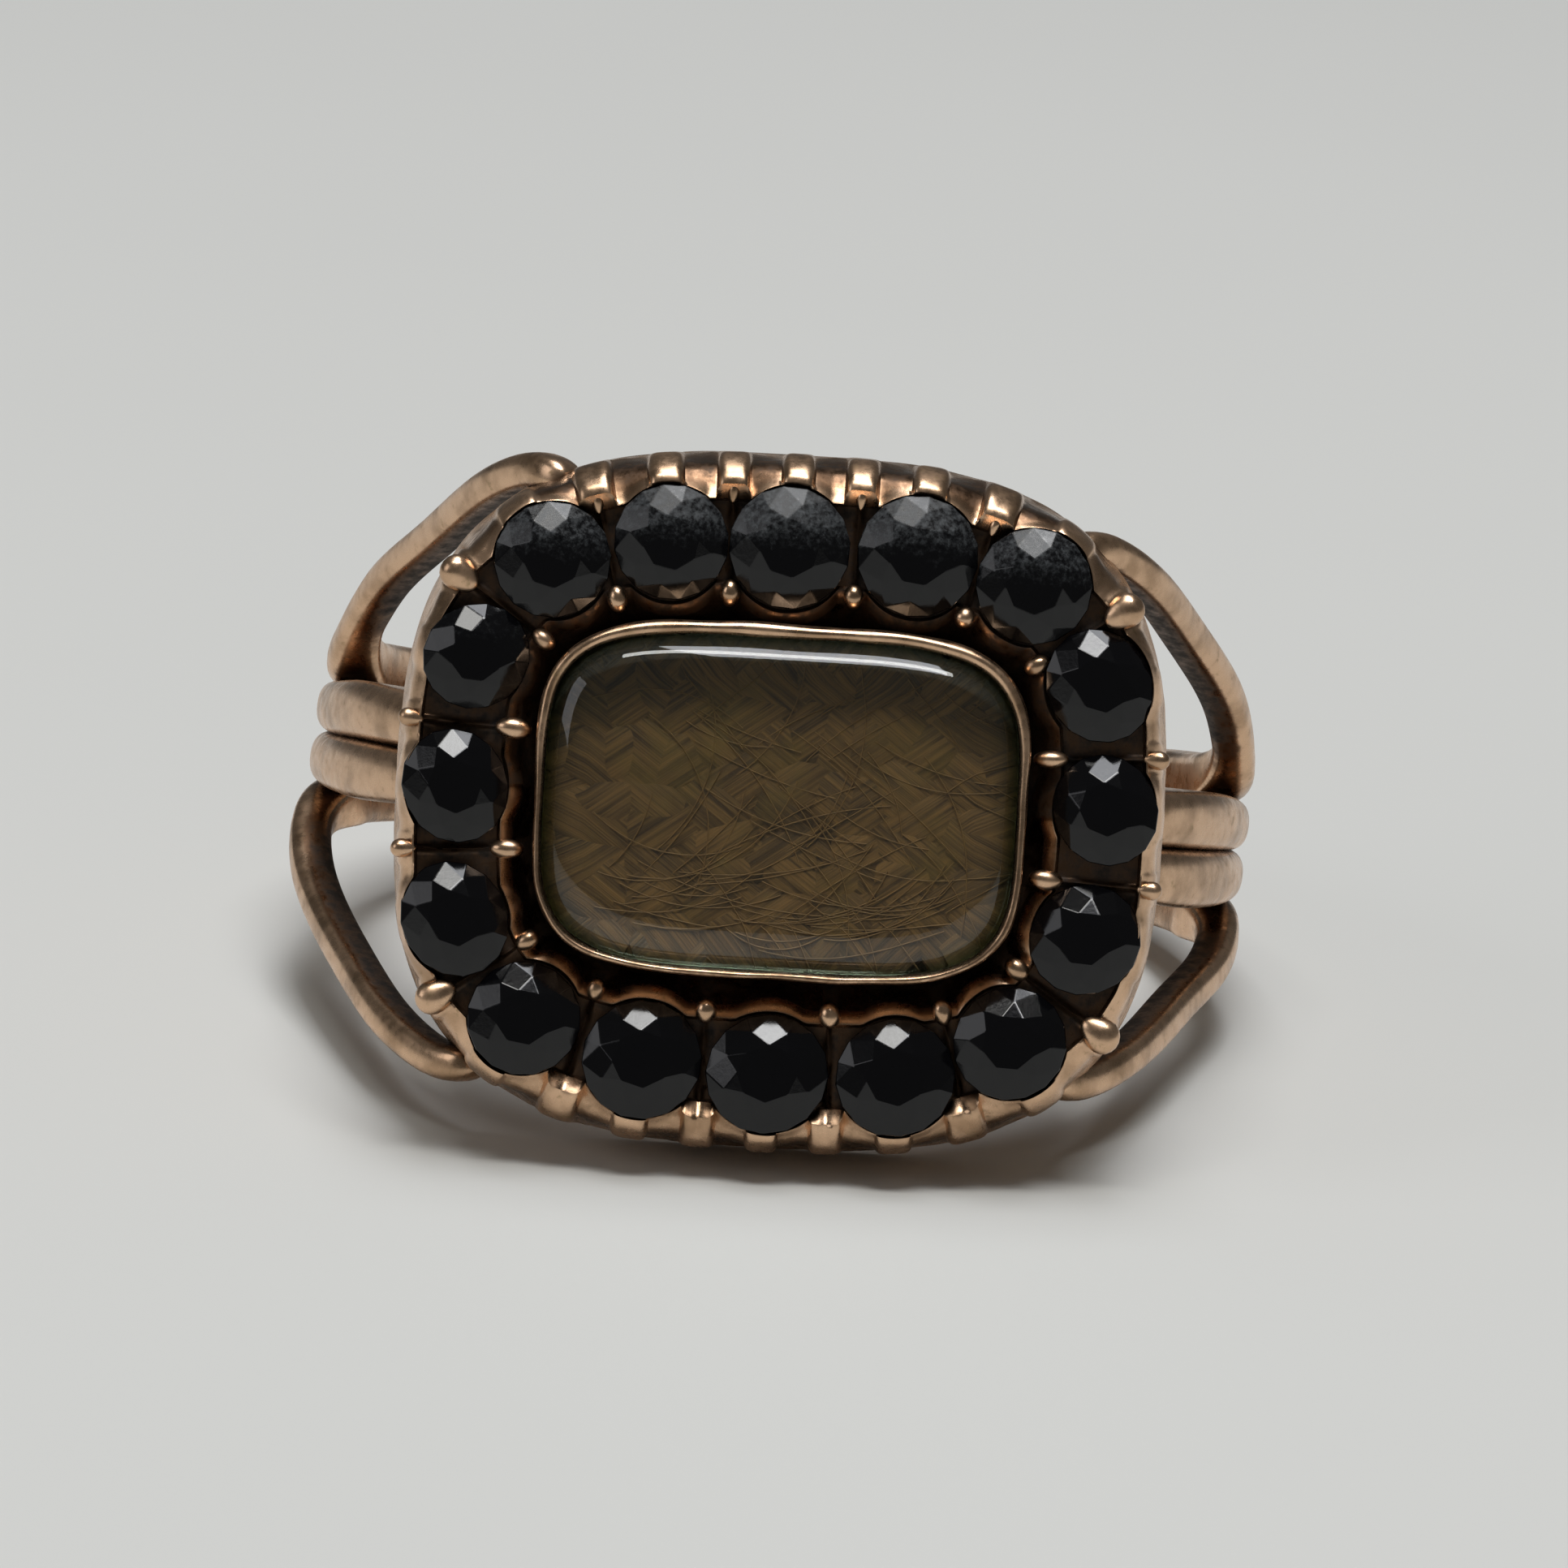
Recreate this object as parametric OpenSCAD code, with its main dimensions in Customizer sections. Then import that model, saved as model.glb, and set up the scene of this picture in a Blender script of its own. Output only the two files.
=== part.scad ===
// Mourning ring: a gold hoop of four strands whose outer pair splits off as open shoulders,
// a fluted cushion head, sixteen faceted black stones and a glazed compartment of woven hair.
// The ring is drawn as it is worn: X runs across the head, Y is the finger's axis and Z
// points out through the glass, with the finger's axis at Z = 0. It is then laid on its side,
// on the lowest ribs of the head and the back of the hoop, with +Z up.

/* [Hoop] */
// Radius of the finger hole
finger_r = 8.6; // [8.4:0.05:8.8]
// Outer radius of the hoop at its sides
hoop_side_r = 9.9; // [9.7:0.05:10.1]
// Outer radius of the hoop at its back
hoop_back_r = 9.6; // [9.4:0.05:9.8]
// Width of the middle pair of strands at the hoop's sides
pair_side_w = 2.05; // [1.8:0.05:2.3]
// Width of the middle pair at the hoop's back
pair_back_w = 1.55; // [1.4:0.05:1.8]
// Width of the middle pair where it swells in front of the sides
pair_front_w = 2.5; // [2.2:0.05:2.6]
// Width of each outer strand at the hoop's sides
strand_side_w = 1.05; // [0.9:0.05:1.2]
// Width of each outer strand at the hoop's back
strand_back_w = 0.85; // [0.75:0.05:1]
// Angle by which the worn hoop stands askew to the head
hoop_skew = 4.2; // [0:0.1:5]

/* [Shoulders] */
// Width of a shoulder wire, seen from the front
wire_w = 0.98; // [0.8:0.02:1.1]
// Depth of a shoulder wire, from its flat inner side to its crown
wire_depth = 1.15; // [0.9:0.05:1.3]

/* [Head] */
// Width of the head's wall, across the finger
head_w = 15.16; // [15:0.02:15.3]
// Length of the head's wall, along the finger
head_l = 13.44; // [13.3:0.02:13.6]
// Squareness of the wall's cushion outline (2 is an ellipse)
head_power = 2.9; // [2.8:0.05:3.1]
// Height of the head's back above the finger's axis
back_z = 8.9; // [8.8:0.05:9]
// Height of the wall's rim above the finger's axis
rim_z = 11.45; // [11.4:0.05:11.5]
// Radius of a rib where two stones meet
rib_r = 0.31; // [0.24:0.01:0.34]
// Radius of a rib in the middle of a stone
small_rib_r = 0.27; // [0.2:0.01:0.3]
// Radius of a bead on the inner side of the stones
bead_r = 0.21; // [0.15:0.01:0.24]

/* [Stones] */
// Width of the row of stones, centre to centre
row_w = 12.74; // [12.7:0.02:12.8]
// Length of the row of stones, centre to centre
row_l = 10.34; // [10.3:0.02:10.4]
// Squareness of the row's outline
row_power = 3.27; // [3.2:0.01:3.35]
// Height of the stones' girdles above the finger's axis
girdle_z = 11.42; // [11.4:0.01:11.45]
// Height of a stone's crown above its girdle
crown_h = 0.46; // [0.35:0.01:0.5]
// Depth of a stone's pavilion below its girdle
pavilion_h = 0.95; // [0.85:0.01:1]
// Width of the table as a share of the stone's
table_share = 0.54; // [0.45:0.01:0.6]

/* [Glazed compartment] */
// Width of the glass
glass_w = 9.3; // [9.2:0.02:9.4]
// Length of the glass
glass_l = 6.56; // [6.46:0.02:6.66]
// Squareness of the glass's outline
glass_power = 4.2; // [3.8:0.1:4.6]
// Thickness of the glass at its edge
glass_edge_h = 0.62; // [0.5:0.02:0.7]
// Rise of the glass's dome
glass_dome_h = 0.34; // [0.2:0.02:0.4]
// Thickness of the gold rim round the glass
collet_t = 0.21; // [0.18:0.01:0.24]
// Height of that rim above the finger's axis
collet_z = 11.92; // [11.8:0.01:11.95]
// Thickness of the woven hair and the card it is laid on
hair_h = 1.5; // [1.3:0.05:1.55]

/* [Rest] */
// Angle by which the head leans back when the ring lies on its side
lean = 15.96; // [15:0.02:17]
// Angle by which the ring is turned about the head's own axis
roll = 0; // [-4:0.1:4]

/* [Hidden] */
STONES = 16;

GOLD = "#c08e6c";
BLACK = "#1b1c20";
GLASS = "#b9bfae";
HAIR = "#5f4c33";

// Clearance between a stone or the glass and its seat
gap = 0.05;
// The finger's side of the middle pair and of the outer strands before the finger hole is cut
pair_under_r = finger_r - 0.2;
strand_under_r = finger_r - 0.3;
// Depth at which strands and ribs sink into their neighbours
sink = 0.1;

// Each stone as it was set, clockwise from the top middle one: its shift across and along
// the head from its even place, its radius, the turn of its facets and its tilt on X and Y.
SHIFT_X = 0;
SHIFT_Y = 1;
RADIUS = 2;
TURN = 3;
TILT_X = 4;
TILT_Y = 5;
SETTING = [
    [-0.10, -0.15, 1.15, 8, 2, 0],
    [-0.05, -0.10, 1.15, 15, 1, 2],
    [-0.10, 0.12, 1.10, 3, 3, -1],
    [-0.08, 0.22, 1.04, 12, -2, 2],
    [0.00, 0.25, 1.02, 5, -3, -2],
    [-0.08, 0.15, 1.02, 18, -4, -1],
    [-0.05, 0.00, 1.10, 20, -4, -2],
    [0.10, -0.12, 1.15, 9, -3, 1],
    [0.05, -0.12, 1.16, 0, -4, 0],
    [0.05, -0.05, 1.17, 6, -4, 1],
    [0.05, -0.05, 1.10, 14, -5, 2],
    [-0.04, -0.15, 1.02, 10, -3, 2],
    [0.00, 0.00, 1.02, 4, 0, 1],
    [0.10, 0.10, 0.98, 17, 1, 4],
    [0.10, 0.10, 1.10, 7, 2, 1],
    [0.05, -0.10, 1.06, 11, 3, 0]];

// The middle line of a shoulder wire, from the hoop's side to the head's corner. Its first
// row lies on the hoop, where the wire hasn't left it yet.
WIRE_X = 0;
WIRE_Y = 1;
WIRE_Z = 2;
WIRE = [
    [9.08, 1.44, -2.00],
    [9.27, 1.45, -0.80],
    [9.38, 1.68, 0.30],
    [9.30, 2.20, 1.30],
    [8.98, 2.90, 2.50],
    [8.27, 3.72, 4.40],
    [7.18, 4.80, 7.30],
    [6.20, 5.35, 8.90],
    [5.45, 5.30, 9.65]];

// How each corner's wire differs from that line: side of the hoop, side of the head, and
// its shift across and along at the middle and at the end.
SIDE_X = 0;
SIDE_Y = 1;
MID_X = 2;
MID_Y = 3;
END_X = 4;
END_Y = 5;
CORNERS = [
    [-1, 1, -0.22, 0.50, -1.05, 0.75],
    [1, 1, -0.10, 0.10, -0.10, -0.05],
    [-1, -1, 0.30, -0.10, 0.15, 0.20],
    [1, -1, 0.10, 0.00, -0.05, -0.15]];

// The width of the middle pair and the outer radius round the hoop, by angle from the head.
ANGLE = 0;
PAIR_WIDTH = 1;
OUTER_RADIUS = 2;
HOOP_ROWS = [
    [0, 1.70, 9.50],
    [20, 1.70, 10.10],
    [32, 1.80, 10.50],
    [44, 2.15, 10.40],
    [58, pair_front_w, 10.10],
    [75, 2.30, hoop_side_r + 0.03],
    [90, pair_side_w, hoop_side_r],
    [135, (pair_side_w + pair_back_w) / 2, (hoop_side_r + hoop_back_r) / 2],
    [180, pair_back_w, hoop_back_r]];
PAIR_W = [for (r = HOOP_ROWS) [r[ANGLE], r[PAIR_WIDTH]]];
OUTER_R = [for (r = HOOP_ROWS) [r[ANGLE], r[OUTER_RADIUS]]];

// Depth of the groove between two strands
groove = 0.34;
// Number of rings round the pair and along a shoulder wire and the hoop's back
PAIR_RINGS = 72;
WIRE_RINGS = 26;
BACK_RINGS = 31;

// Heights inside the head
plate_z = back_z + 0.6;
trough_z = plate_z + 0.4;
girdle_h = 0.08;
glass_z = collet_z - glass_edge_h - 0.1;
hair_z = glass_z - gap - hair_h;
HALVES = 2 * STONES;

// Where the finger's axis comes to lie, so that the origin is under the middle of the box
// round the ring
rest_x = 0.14;
rest_y = 1.75;
rest_z = 4.2;

function mix(a, b, t) = a + (b - a) * t;
function smooth(t) = t * t * (3 - 2 * t);
function unit(v) = v / norm(v);
function signed_power(x, p) = sign(x) * pow(abs(x), p);

// A point of a cushion outline (a superellipse) at an angle, and the whole outline.
function cushion_at(w, l, p, a) =
    [w / 2 * signed_power(sin(a), 2 / p), l / 2 * signed_power(cos(a), 2 / p)];
function cushion(w, l, p, n) = [for (i = [0 : n - 1]) cushion_at(w, l, p, -360 * i / n)];

// The row of stones by length of arc: the angle at each share of the way round.
ROW_STEPS = 720;
row_points = [for (i = [0 : ROW_STEPS]) cushion_at(row_w, row_l, row_power, 360 * i / ROW_STEPS)];
function running(points, i = 1, sum = 0, out = [0]) = i == len(points) ? out :
    let (s = sum + norm(points[i] - points[i - 1])) running(points, i + 1, s, concat(out, [s]));
row_lengths = running(row_points);
row_length = row_lengths[ROW_STEPS];
row_angles = [for (i = [0 : ROW_STEPS]) [row_lengths[i] / row_length, 360 * i / ROW_STEPS]];

// The even places along the row, counted in half stones from the top middle, and the
// outward direction there.
function row_at(half) = cushion_at(row_w, row_l, row_power, lookup((half % HALVES) / HALVES, row_angles));
function row_out(half) =
    let (along = row_at(half + HALVES + 0.3) - row_at(half + HALVES - 0.3)) unit([-along[1], along[0]]);
function outward(half, across, along) =
    let (p = row_at(half), d = row_out(half)) [p[0] + d[0] * across, p[1] + d[1] * along];

// A smooth curve through the rows of a table, at a place counted in rows.
function curve_at(rows, s) =
    let (last = len(rows) - 1, i = min(floor(s), last - 1), t = s - i,
        a = rows[max(i - 1, 0)], b = rows[i], c = rows[i + 1], d = rows[min(i + 2, last)])
    0.5 * (2 * b + (c - a) * t + (2 * a - 5 * b + 4 * c - d) * t * t
        + (3 * b - 3 * c + d - a) * t * t * t);

// A point turned about Z, as the hoop is against the head.
function turned(p, a) = [p[0] * cos(a) - p[1] * sin(a), p[0] * sin(a) + p[1] * cos(a), p[2]];

// The middle line of one corner's wire: the hoop's skew fades out towards the head, where
// the wire reaches its own place.
function wire_at(corner, t) =
    let (p = curve_at(WIRE, 1 + t * (len(WIRE) - 2)), bow = smooth(sin(180 * t)), end = smooth(t),
        x = p[WIRE_X] + corner[MID_X] * bow + corner[END_X] * end,
        y = p[WIRE_Y] + corner[MID_Y] * bow + corner[END_Y] * end)
    turned([corner[SIDE_X] * x, corner[SIDE_Y] * y, p[WIRE_Z]], -hoop_skew * (1 - smooth(t)));

// The middle line of an outer strand round the hoop's back, by angle from the head.
strand_mid_r = 9.3;
function strand_w(a) = mix(strand_side_w, strand_back_w, pow(cos(a), 2));
function strand_at(side, a) =
    let (y = lookup(a, PAIR_W) / 2 + strand_w(a) / 2 - sink)
    [strand_mid_r * sin(a), side * y, strand_mid_r * cos(a)];

// The section of an outer strand or wire: a flat inner side, straight flanks and a low crown.
crown_share = 0.38;
function strand_section(w, inner, outer) = concat(
    [[-w / 2, -inner], [w / 2, -inner]],
    [for (a = [80 : -26.6 : -80]) [w / 2 * sin(a) / sin(80), outer - w * crown_share * (1 - cos(a))]]);

// The section of the middle pair: two round lobes on one foot, by radius from the finger's axis.
function pair_section(w, r) = concat(
    [[w / 2, pair_under_r], [-w / 2, pair_under_r]],
    [for (k = [-1, 1]) for (a = [-78 : 26 : 78])
        [k * w / 4 + w / 4 * sin(a) / sin(78), r - groove * (1 - cos(a)) / (1 - cos(78))]]);

// A closed or open tube through sections that all have the same number of points.
module tube(rings, closed) {
    m = len(rings[0]);
    n = len(rings);
    points = [for (r = rings) for (p = r) p];
    sides = [for (i = [0 : closed ? n - 1 : n - 2]) for (j = [0 : m - 1])
        let (i2 = (i + 1) % n, j2 = (j + 1) % m) [i * m + j, i * m + j2, i2 * m + j2, i2 * m + j]];
    ends = closed ? [] : [[for (j = [m - 1 : -1 : 0]) j], [for (j = [0 : m - 1]) (n - 1) * m + j]];
    polyhedron(points = points, faces = concat(sides, ends), convexity = 8);
}

// One outer strand: from the right corner of the head round the hoop to the left corner.
module outer_strand(side) {
    left = side > 0 ? CORNERS[0] : CORNERS[2];
    right = side > 0 ? CORNERS[1] : CORNERS[3];
    start_a = atan2(WIRE[1][WIRE_X], WIRE[1][WIRE_Z]);
    back = [for (i = [1 : BACK_RINGS - 1]) mix(start_a, 360 - start_a, i / BACK_RINGS)];
    // Each ring: its middle, its share of the wire's own section and its angle round the hoop.
    stations = concat(
        [for (i = [WIRE_RINGS : -1 : 0]) let (t = i / WIRE_RINGS) [wire_at(right, t), t, start_a]],
        [for (a = back) let (f = a > 180 ? 360 - a : a)
            let (p = strand_at(side, f)) [turned([a > 180 ? -p[0] : p[0], p[1], p[2]], -hoop_skew), 0, f]],
        [for (i = [0 : WIRE_RINGS]) let (t = i / WIRE_RINGS) [wire_at(left, t), t, start_a]]);
    last = len(stations) - 1;
    rings = [for (i = [0 : last])
        let (p = stations[i][0], t = stations[i][1], a = stations[i][2],
            along = unit(stations[min(i + 1, last)][0] - stations[max(i - 1, 0)][0]),
            radial = unit([p[0], 0, p[2]]),
            out = unit(radial - along * (radial * along)),
            across = cross(along, out),
            free = smooth(min(1, t * 4)),
            tip = t < 0.85 ? 1 : mix(1, 0.5, (t - 0.85) / 0.15),
            w = mix(strand_w(a), wire_w, free) * tip,
            outer = mix(lookup(a, OUTER_R) - strand_mid_r, wire_depth * 0.5, free) * tip,
            inner = mix(strand_mid_r - strand_under_r, wire_depth * 0.5, free) * tip)
        [for (s = strand_section(w, inner, outer)) p + across * s[0] + out * s[1]]];
    tube(rings, false);
}

// The middle pair of strands, all the way round the finger.
module middle_pair() {
    rings = [for (i = [0 : PAIR_RINGS - 1])
        let (a = 360 * i / PAIR_RINGS, f = a > 180 ? 360 - a : a,
            section = pair_section(lookup(f, PAIR_W), lookup(f, OUTER_R)))
        [for (s = section) turned([s[1] * sin(a), s[0], s[1] * cos(a)], -hoop_skew)]];
    tube(rings, true);
}

// The soldered hoop with its shoulders, and the round hole for the finger, cut past the head
// at both ends so that it also clears the inner sides of the shoulders.
finger_cut = head_l + 1;
module hoop() {
    difference() {
        union() {
            middle_pair();
            outer_strand(1);
            outer_strand(-1);
        }
        rotate([90, 0, -hoop_skew])
            cylinder(r = finger_r, h = finger_cut, center = true, $fn = 120);
    }
}

// A round peg with a domed top, as a solid of revolution.
module peg(r, h) {
    dome = [for (a = [0 : 45 : 90]) [r * cos(a), h - r * 0.8 + r * 0.8 * sin(a)]];
    rotate_extrude($fn = 24) polygon(concat([[0, 0], [r, 0]], dome));
}

// The ribs round the wall, one at each stone's middle and one at each meeting of two stones.
rib_out_x = 0.99;
rib_out_y = 1.43;
rib_foot_z = back_z + 0.02;
rib_top_z = rim_z + 0.24;
small_rib_top_z = rim_z + 0.07;
module ribs() {
    for (half = [0 : HALVES - 1]) {
        meeting = half % 2;
        p = outward(half, rib_out_x, rib_out_y);
        top_z = meeting ? rib_top_z : small_rib_top_z;
        translate([p[0], p[1], rib_foot_z]) peg(meeting ? rib_r : small_rib_r, top_z - rib_foot_z);
    }
}

// The claws that reach from the ribs over the girdles where two stones meet: each a drop in
// plan, wide at the rib and rounded at its tip.
claw_half_w = 0.25;
claw_len = 0.84;
claw_low = rim_z - 0.09;
claw_high = rim_z + 0.17;
tip_share = 0.62;
module claws() {
    tip_r = claw_half_w * tip_share;
    tip = [for (a = [75 : -30 : -75]) [claw_len - tip_r + tip_r * cos(a), tip_r * sin(a)]];
    for (half = [1 : 2 : HALVES - 1]) {
        p = outward(half, rib_out_x, rib_out_y);
        d = row_out(half);
        translate([p[0], p[1], claw_low]) rotate([0, 0, atan2(-d[1], -d[0])])
            linear_extrude(claw_high - claw_low)
                polygon(concat([[0, -claw_half_w], [0, claw_half_w]], tip));
    }
}

// The beads on the inner side of the row, raised from the trough between neighbours.
bead_in = 1.06;
bead_z = girdle_z + 0.16;
module beads() {
    for (half = [1 : 2 : HALVES - 1]) {
        p = outward(half, -bead_in, -bead_in);
        translate([p[0], p[1], plate_z - sink]) peg(bead_r, bead_z - plate_z + sink);
    }
}

module stone_place(i) {
    s = SETTING[i];
    p = row_at(2 * i);
    translate([p[0] + s[SHIFT_X], p[1] + s[SHIFT_Y], girdle_z]) rotate([s[TILT_X], s[TILT_Y], 0]) children();
}

// The space that a stone takes in its seat, a gap larger than the stone all round, with a
// well below the stone's point.
well_share = 0.22;
well_mouth_share = 0.3;
module seat(i) {
    r = SETTING[i][RADIUS];
    table_r = r * table_share;
    low = plate_z - girdle_z + gap;
    stone_place(i) rotate_extrude($fn = 48) polygon([[0, low], [well_share * r, low],
        [well_mouth_share * r, -pavilion_h], [r + gap, -girdle_h - gap], [r + gap, gap],
        [table_r + gap, crown_h + gap], [0, crown_h + gap]]);
}

// The cup of the head: the back plate and the wall in one.
OUTLINE_POINTS = 64;
module cup() {
    translate([0, 0, back_z]) linear_extrude(rim_z - back_z)
        polygon(cushion(head_w, head_l, head_power, OUTLINE_POINTS));
}

// The groove between the row of stones and the rim round the glass.
collet_w = glass_w + 2 * (gap + collet_t);
collet_l = glass_l + 2 * (gap + collet_t);
trough_in = 0.3;
module trough() {
    translate([0, 0, trough_z]) linear_extrude(rim_z) difference() {
        polygon(cushion(row_w - trough_in, row_l - trough_in, row_power, OUTLINE_POINTS));
        polygon(cushion(collet_w, collet_l, glass_power, OUTLINE_POINTS));
    }
}

// The box of the compartment, whose upper edge is the rim round the glass, and its hollow.
module collet() {
    translate([0, 0, plate_z]) linear_extrude(collet_z - plate_z)
        polygon(cushion(collet_w, collet_l, glass_power, OUTLINE_POINTS));
}

module compartment() {
    translate([0, 0, hair_z - gap]) linear_extrude(collet_z)
        polygon(cushion(glass_w + 2 * gap, glass_l + 2 * gap, glass_power, OUTLINE_POINTS));
}

module head() {
    difference() {
        union() {
            difference() {
                cup();
                trough();
            }
            collet();
            ribs();
            claws();
            beads();
        }
        for (i = [0 : STONES - 1]) seat(i);
        compartment();
    }
}

// The ring as it lies: head forward along -Y and leaning back, origin under its middle.
module at_rest() {
    translate([rest_x, rest_y, rest_z]) rotate([90 - lean, 0, 0]) rotate([0, 0, roll]) children();
}

module ring_mount() {
    color(GOLD) at_rest() union() {
        hoop();
        head();
    }
}

// A stone: an eight-sided table, eight star and eight kite facets, sixteen upper girdle
// facets, a thin girdle and a pointed pavilion of eight.
module stone(i) {
    s = SETTING[i];
    r = s[RADIUS];
    table_r = r * table_share;
    star_r = r * (1 + table_share) / 2 * 0.99;
    slope = crown_h / (r - table_r);
    star_z = crown_h - slope * (star_r * cos(22.5) - table_r);
    function around(radius, z, n, a0) = [for (k = [0 : n - 1])
        [radius * cos(a0 - 360 * k / n), radius * sin(a0 - 360 * k / n), z]];
    points = concat(around(table_r, crown_h, 8, 0), around(star_r, star_z, 8, -22.5),
        around(r, 0, 16, 0), around(r, -girdle_h, 16, 0), [[0, 0, -pavilion_h]]);
    star = 8;
    top = 16;
    low = 32;
    culet = 48;
    function around8(k) = (k + 8) % 8;
    function around16(k) = (k + 16) % 16;
    faces = concat(
        [[for (k = [0 : 7]) k]],
        [for (k = [0 : 7]) [around8(k + 1), k, star + k]],
        [for (k = [0 : 7]) [k, star + around8(k - 1), top + 2 * k, star + k]],
        [for (k = [0 : 7]) [star + k, top + 2 * k, top + around16(2 * k + 1)]],
        [for (k = [0 : 7]) [star + k, top + around16(2 * k + 1), top + around16(2 * k + 2)]],
        [for (k = [0 : 15]) [top + around16(k + 1), top + k, low + k, low + around16(k + 1)]],
        [for (k = [0 : 15]) [low + around16(k + 1), low + k, culet]]);
    color(BLACK) at_rest() stone_place(i) rotate([0, 0, s[TURN]])
        polyhedron(points = points, faces = faces, convexity = 2);
}

// The glass: a straight edge and a low dome, in rings that close on the middle.
DOME_RINGS = 6;
DOME_POINTS = 48;
module crystal() {
    outline = cushion(glass_w, glass_l, glass_power, DOME_POINTS);
    function ring(share, z) = [for (p = outline) [p[0] * share, p[1] * share, z]];
    shares = [for (k = [0 : DOME_RINGS - 1]) sin(90 * (1 - k / DOME_RINGS))];
    rings = concat([ring(1, 0)],
        [for (q = shares) ring(q, glass_edge_h + glass_dome_h * sqrt(1 - q * q))]);
    apex = [0, 0, glass_edge_h + glass_dome_h];
    n = DOME_POINTS;
    count = len(rings);
    points = concat([for (r = rings) for (p = r) p], [apex]);
    faces = concat(
        [[for (j = [0 : n - 1]) j]],
        [for (i = [0 : count - 2]) for (j = [0 : n - 1]) let (j2 = (j + 1) % n)
            [i * n + j2, i * n + j, (i + 1) * n + j, (i + 1) * n + j2]],
        [for (j = [0 : n - 1]) [(count - 1) * n + (j + 1) % n, (count - 1) * n + j, count * n]]);
    color(GLASS) at_rest() translate([0, 0, glass_z])
        polyhedron(points = points, faces = faces, convexity = 2);
}

// The hair laid on its card, a plain pad under the glass.
module hair_panel() {
    color(HAIR) at_rest() translate([0, 0, hair_z]) linear_extrude(hair_h)
        polygon(cushion(glass_w, glass_l, glass_power, DOME_POINTS));
}

ring_mount();
for (i = [0 : STONES - 1]) stone(i);
crystal();
hair_panel();
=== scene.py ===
"""A worn rose gold mourning ring: sixteen black cut stones in a fluted setting round woven hair under glass.

The ring is modelled as it is worn, in millimetres: X runs across the head, Y along the finger and Z out
through the glass, with the finger's axis at Z = 0. Each finished piece is then laid down on its side, in
metres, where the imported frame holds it.
"""

from __future__ import annotations

import logging
import math
import random
from dataclasses import dataclass, field
from enum import Enum
from typing import Callable, Iterable, Sequence

import bmesh
import bpy
from mathutils import Euler, Matrix, Vector, noise
from mathutils.bvhtree import BVHTree

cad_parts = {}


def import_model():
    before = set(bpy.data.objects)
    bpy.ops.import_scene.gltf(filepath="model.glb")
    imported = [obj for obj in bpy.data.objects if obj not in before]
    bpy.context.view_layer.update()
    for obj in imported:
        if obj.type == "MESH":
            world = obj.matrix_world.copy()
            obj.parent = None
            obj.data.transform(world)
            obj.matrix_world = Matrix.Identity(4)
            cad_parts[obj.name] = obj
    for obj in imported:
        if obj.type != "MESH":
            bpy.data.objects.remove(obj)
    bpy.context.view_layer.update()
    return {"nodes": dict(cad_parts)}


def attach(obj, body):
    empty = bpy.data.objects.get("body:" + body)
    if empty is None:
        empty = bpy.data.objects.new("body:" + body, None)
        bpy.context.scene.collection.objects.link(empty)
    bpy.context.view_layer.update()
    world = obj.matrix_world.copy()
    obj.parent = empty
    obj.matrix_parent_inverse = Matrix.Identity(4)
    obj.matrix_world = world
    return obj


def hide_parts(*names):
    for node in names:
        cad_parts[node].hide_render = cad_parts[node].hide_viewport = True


log = logging.getLogger("mourning_ring")

MM = 0.001
PHOTO_PIXELS = 1932
# the vector noise is otherwise seeded by the clock, and the wear would differ from run to run
NOISE_SEED = 4


@dataclass(frozen=True)
class Rest:
    """How the worn ring's frame lies on the surface, in millimetres and degrees."""

    lean: float = 15.96
    x: float = 0.14
    y: float = 1.75
    z: float = 4.2

    def matrix(self) -> Matrix:
        """Return the matrix from worn millimetres to metres at rest."""
        place = Matrix.Translation(Vector((self.x, self.y, self.z)) * MM)
        return place @ Matrix.Rotation(math.radians(90 - self.lean), 4, "X") @ Matrix.Scale(MM, 4)


REST = Rest()


def mix(a: float, b: float, t: float) -> float:
    """Return the value a share t of the way from a to b."""
    return a + (b - a) * t


def smooth(t: float) -> float:
    """Ease a share from 0 to 1, level at both ends."""
    t = min(max(t, 0.0), 1.0)
    return t * t * (3 - 2 * t)


def lookup(x: float, rows: Sequence[Sequence[float]], column: int = 1) -> float:
    """Read a column of a table of rising rows at x, in straight lines between them.

    Args:
        x: The value looked up in the first column.
        rows: The table.
        column: The column that is read.

    Returns:
        The value at x, level past both ends.
    """
    if x <= rows[0][0]:
        return rows[0][column]
    for low, high in zip(rows, rows[1:]):
        if x <= high[0]:
            return mix(low[column], high[column], (x - low[0]) / (high[0] - low[0]))
    return rows[-1][column]


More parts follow.
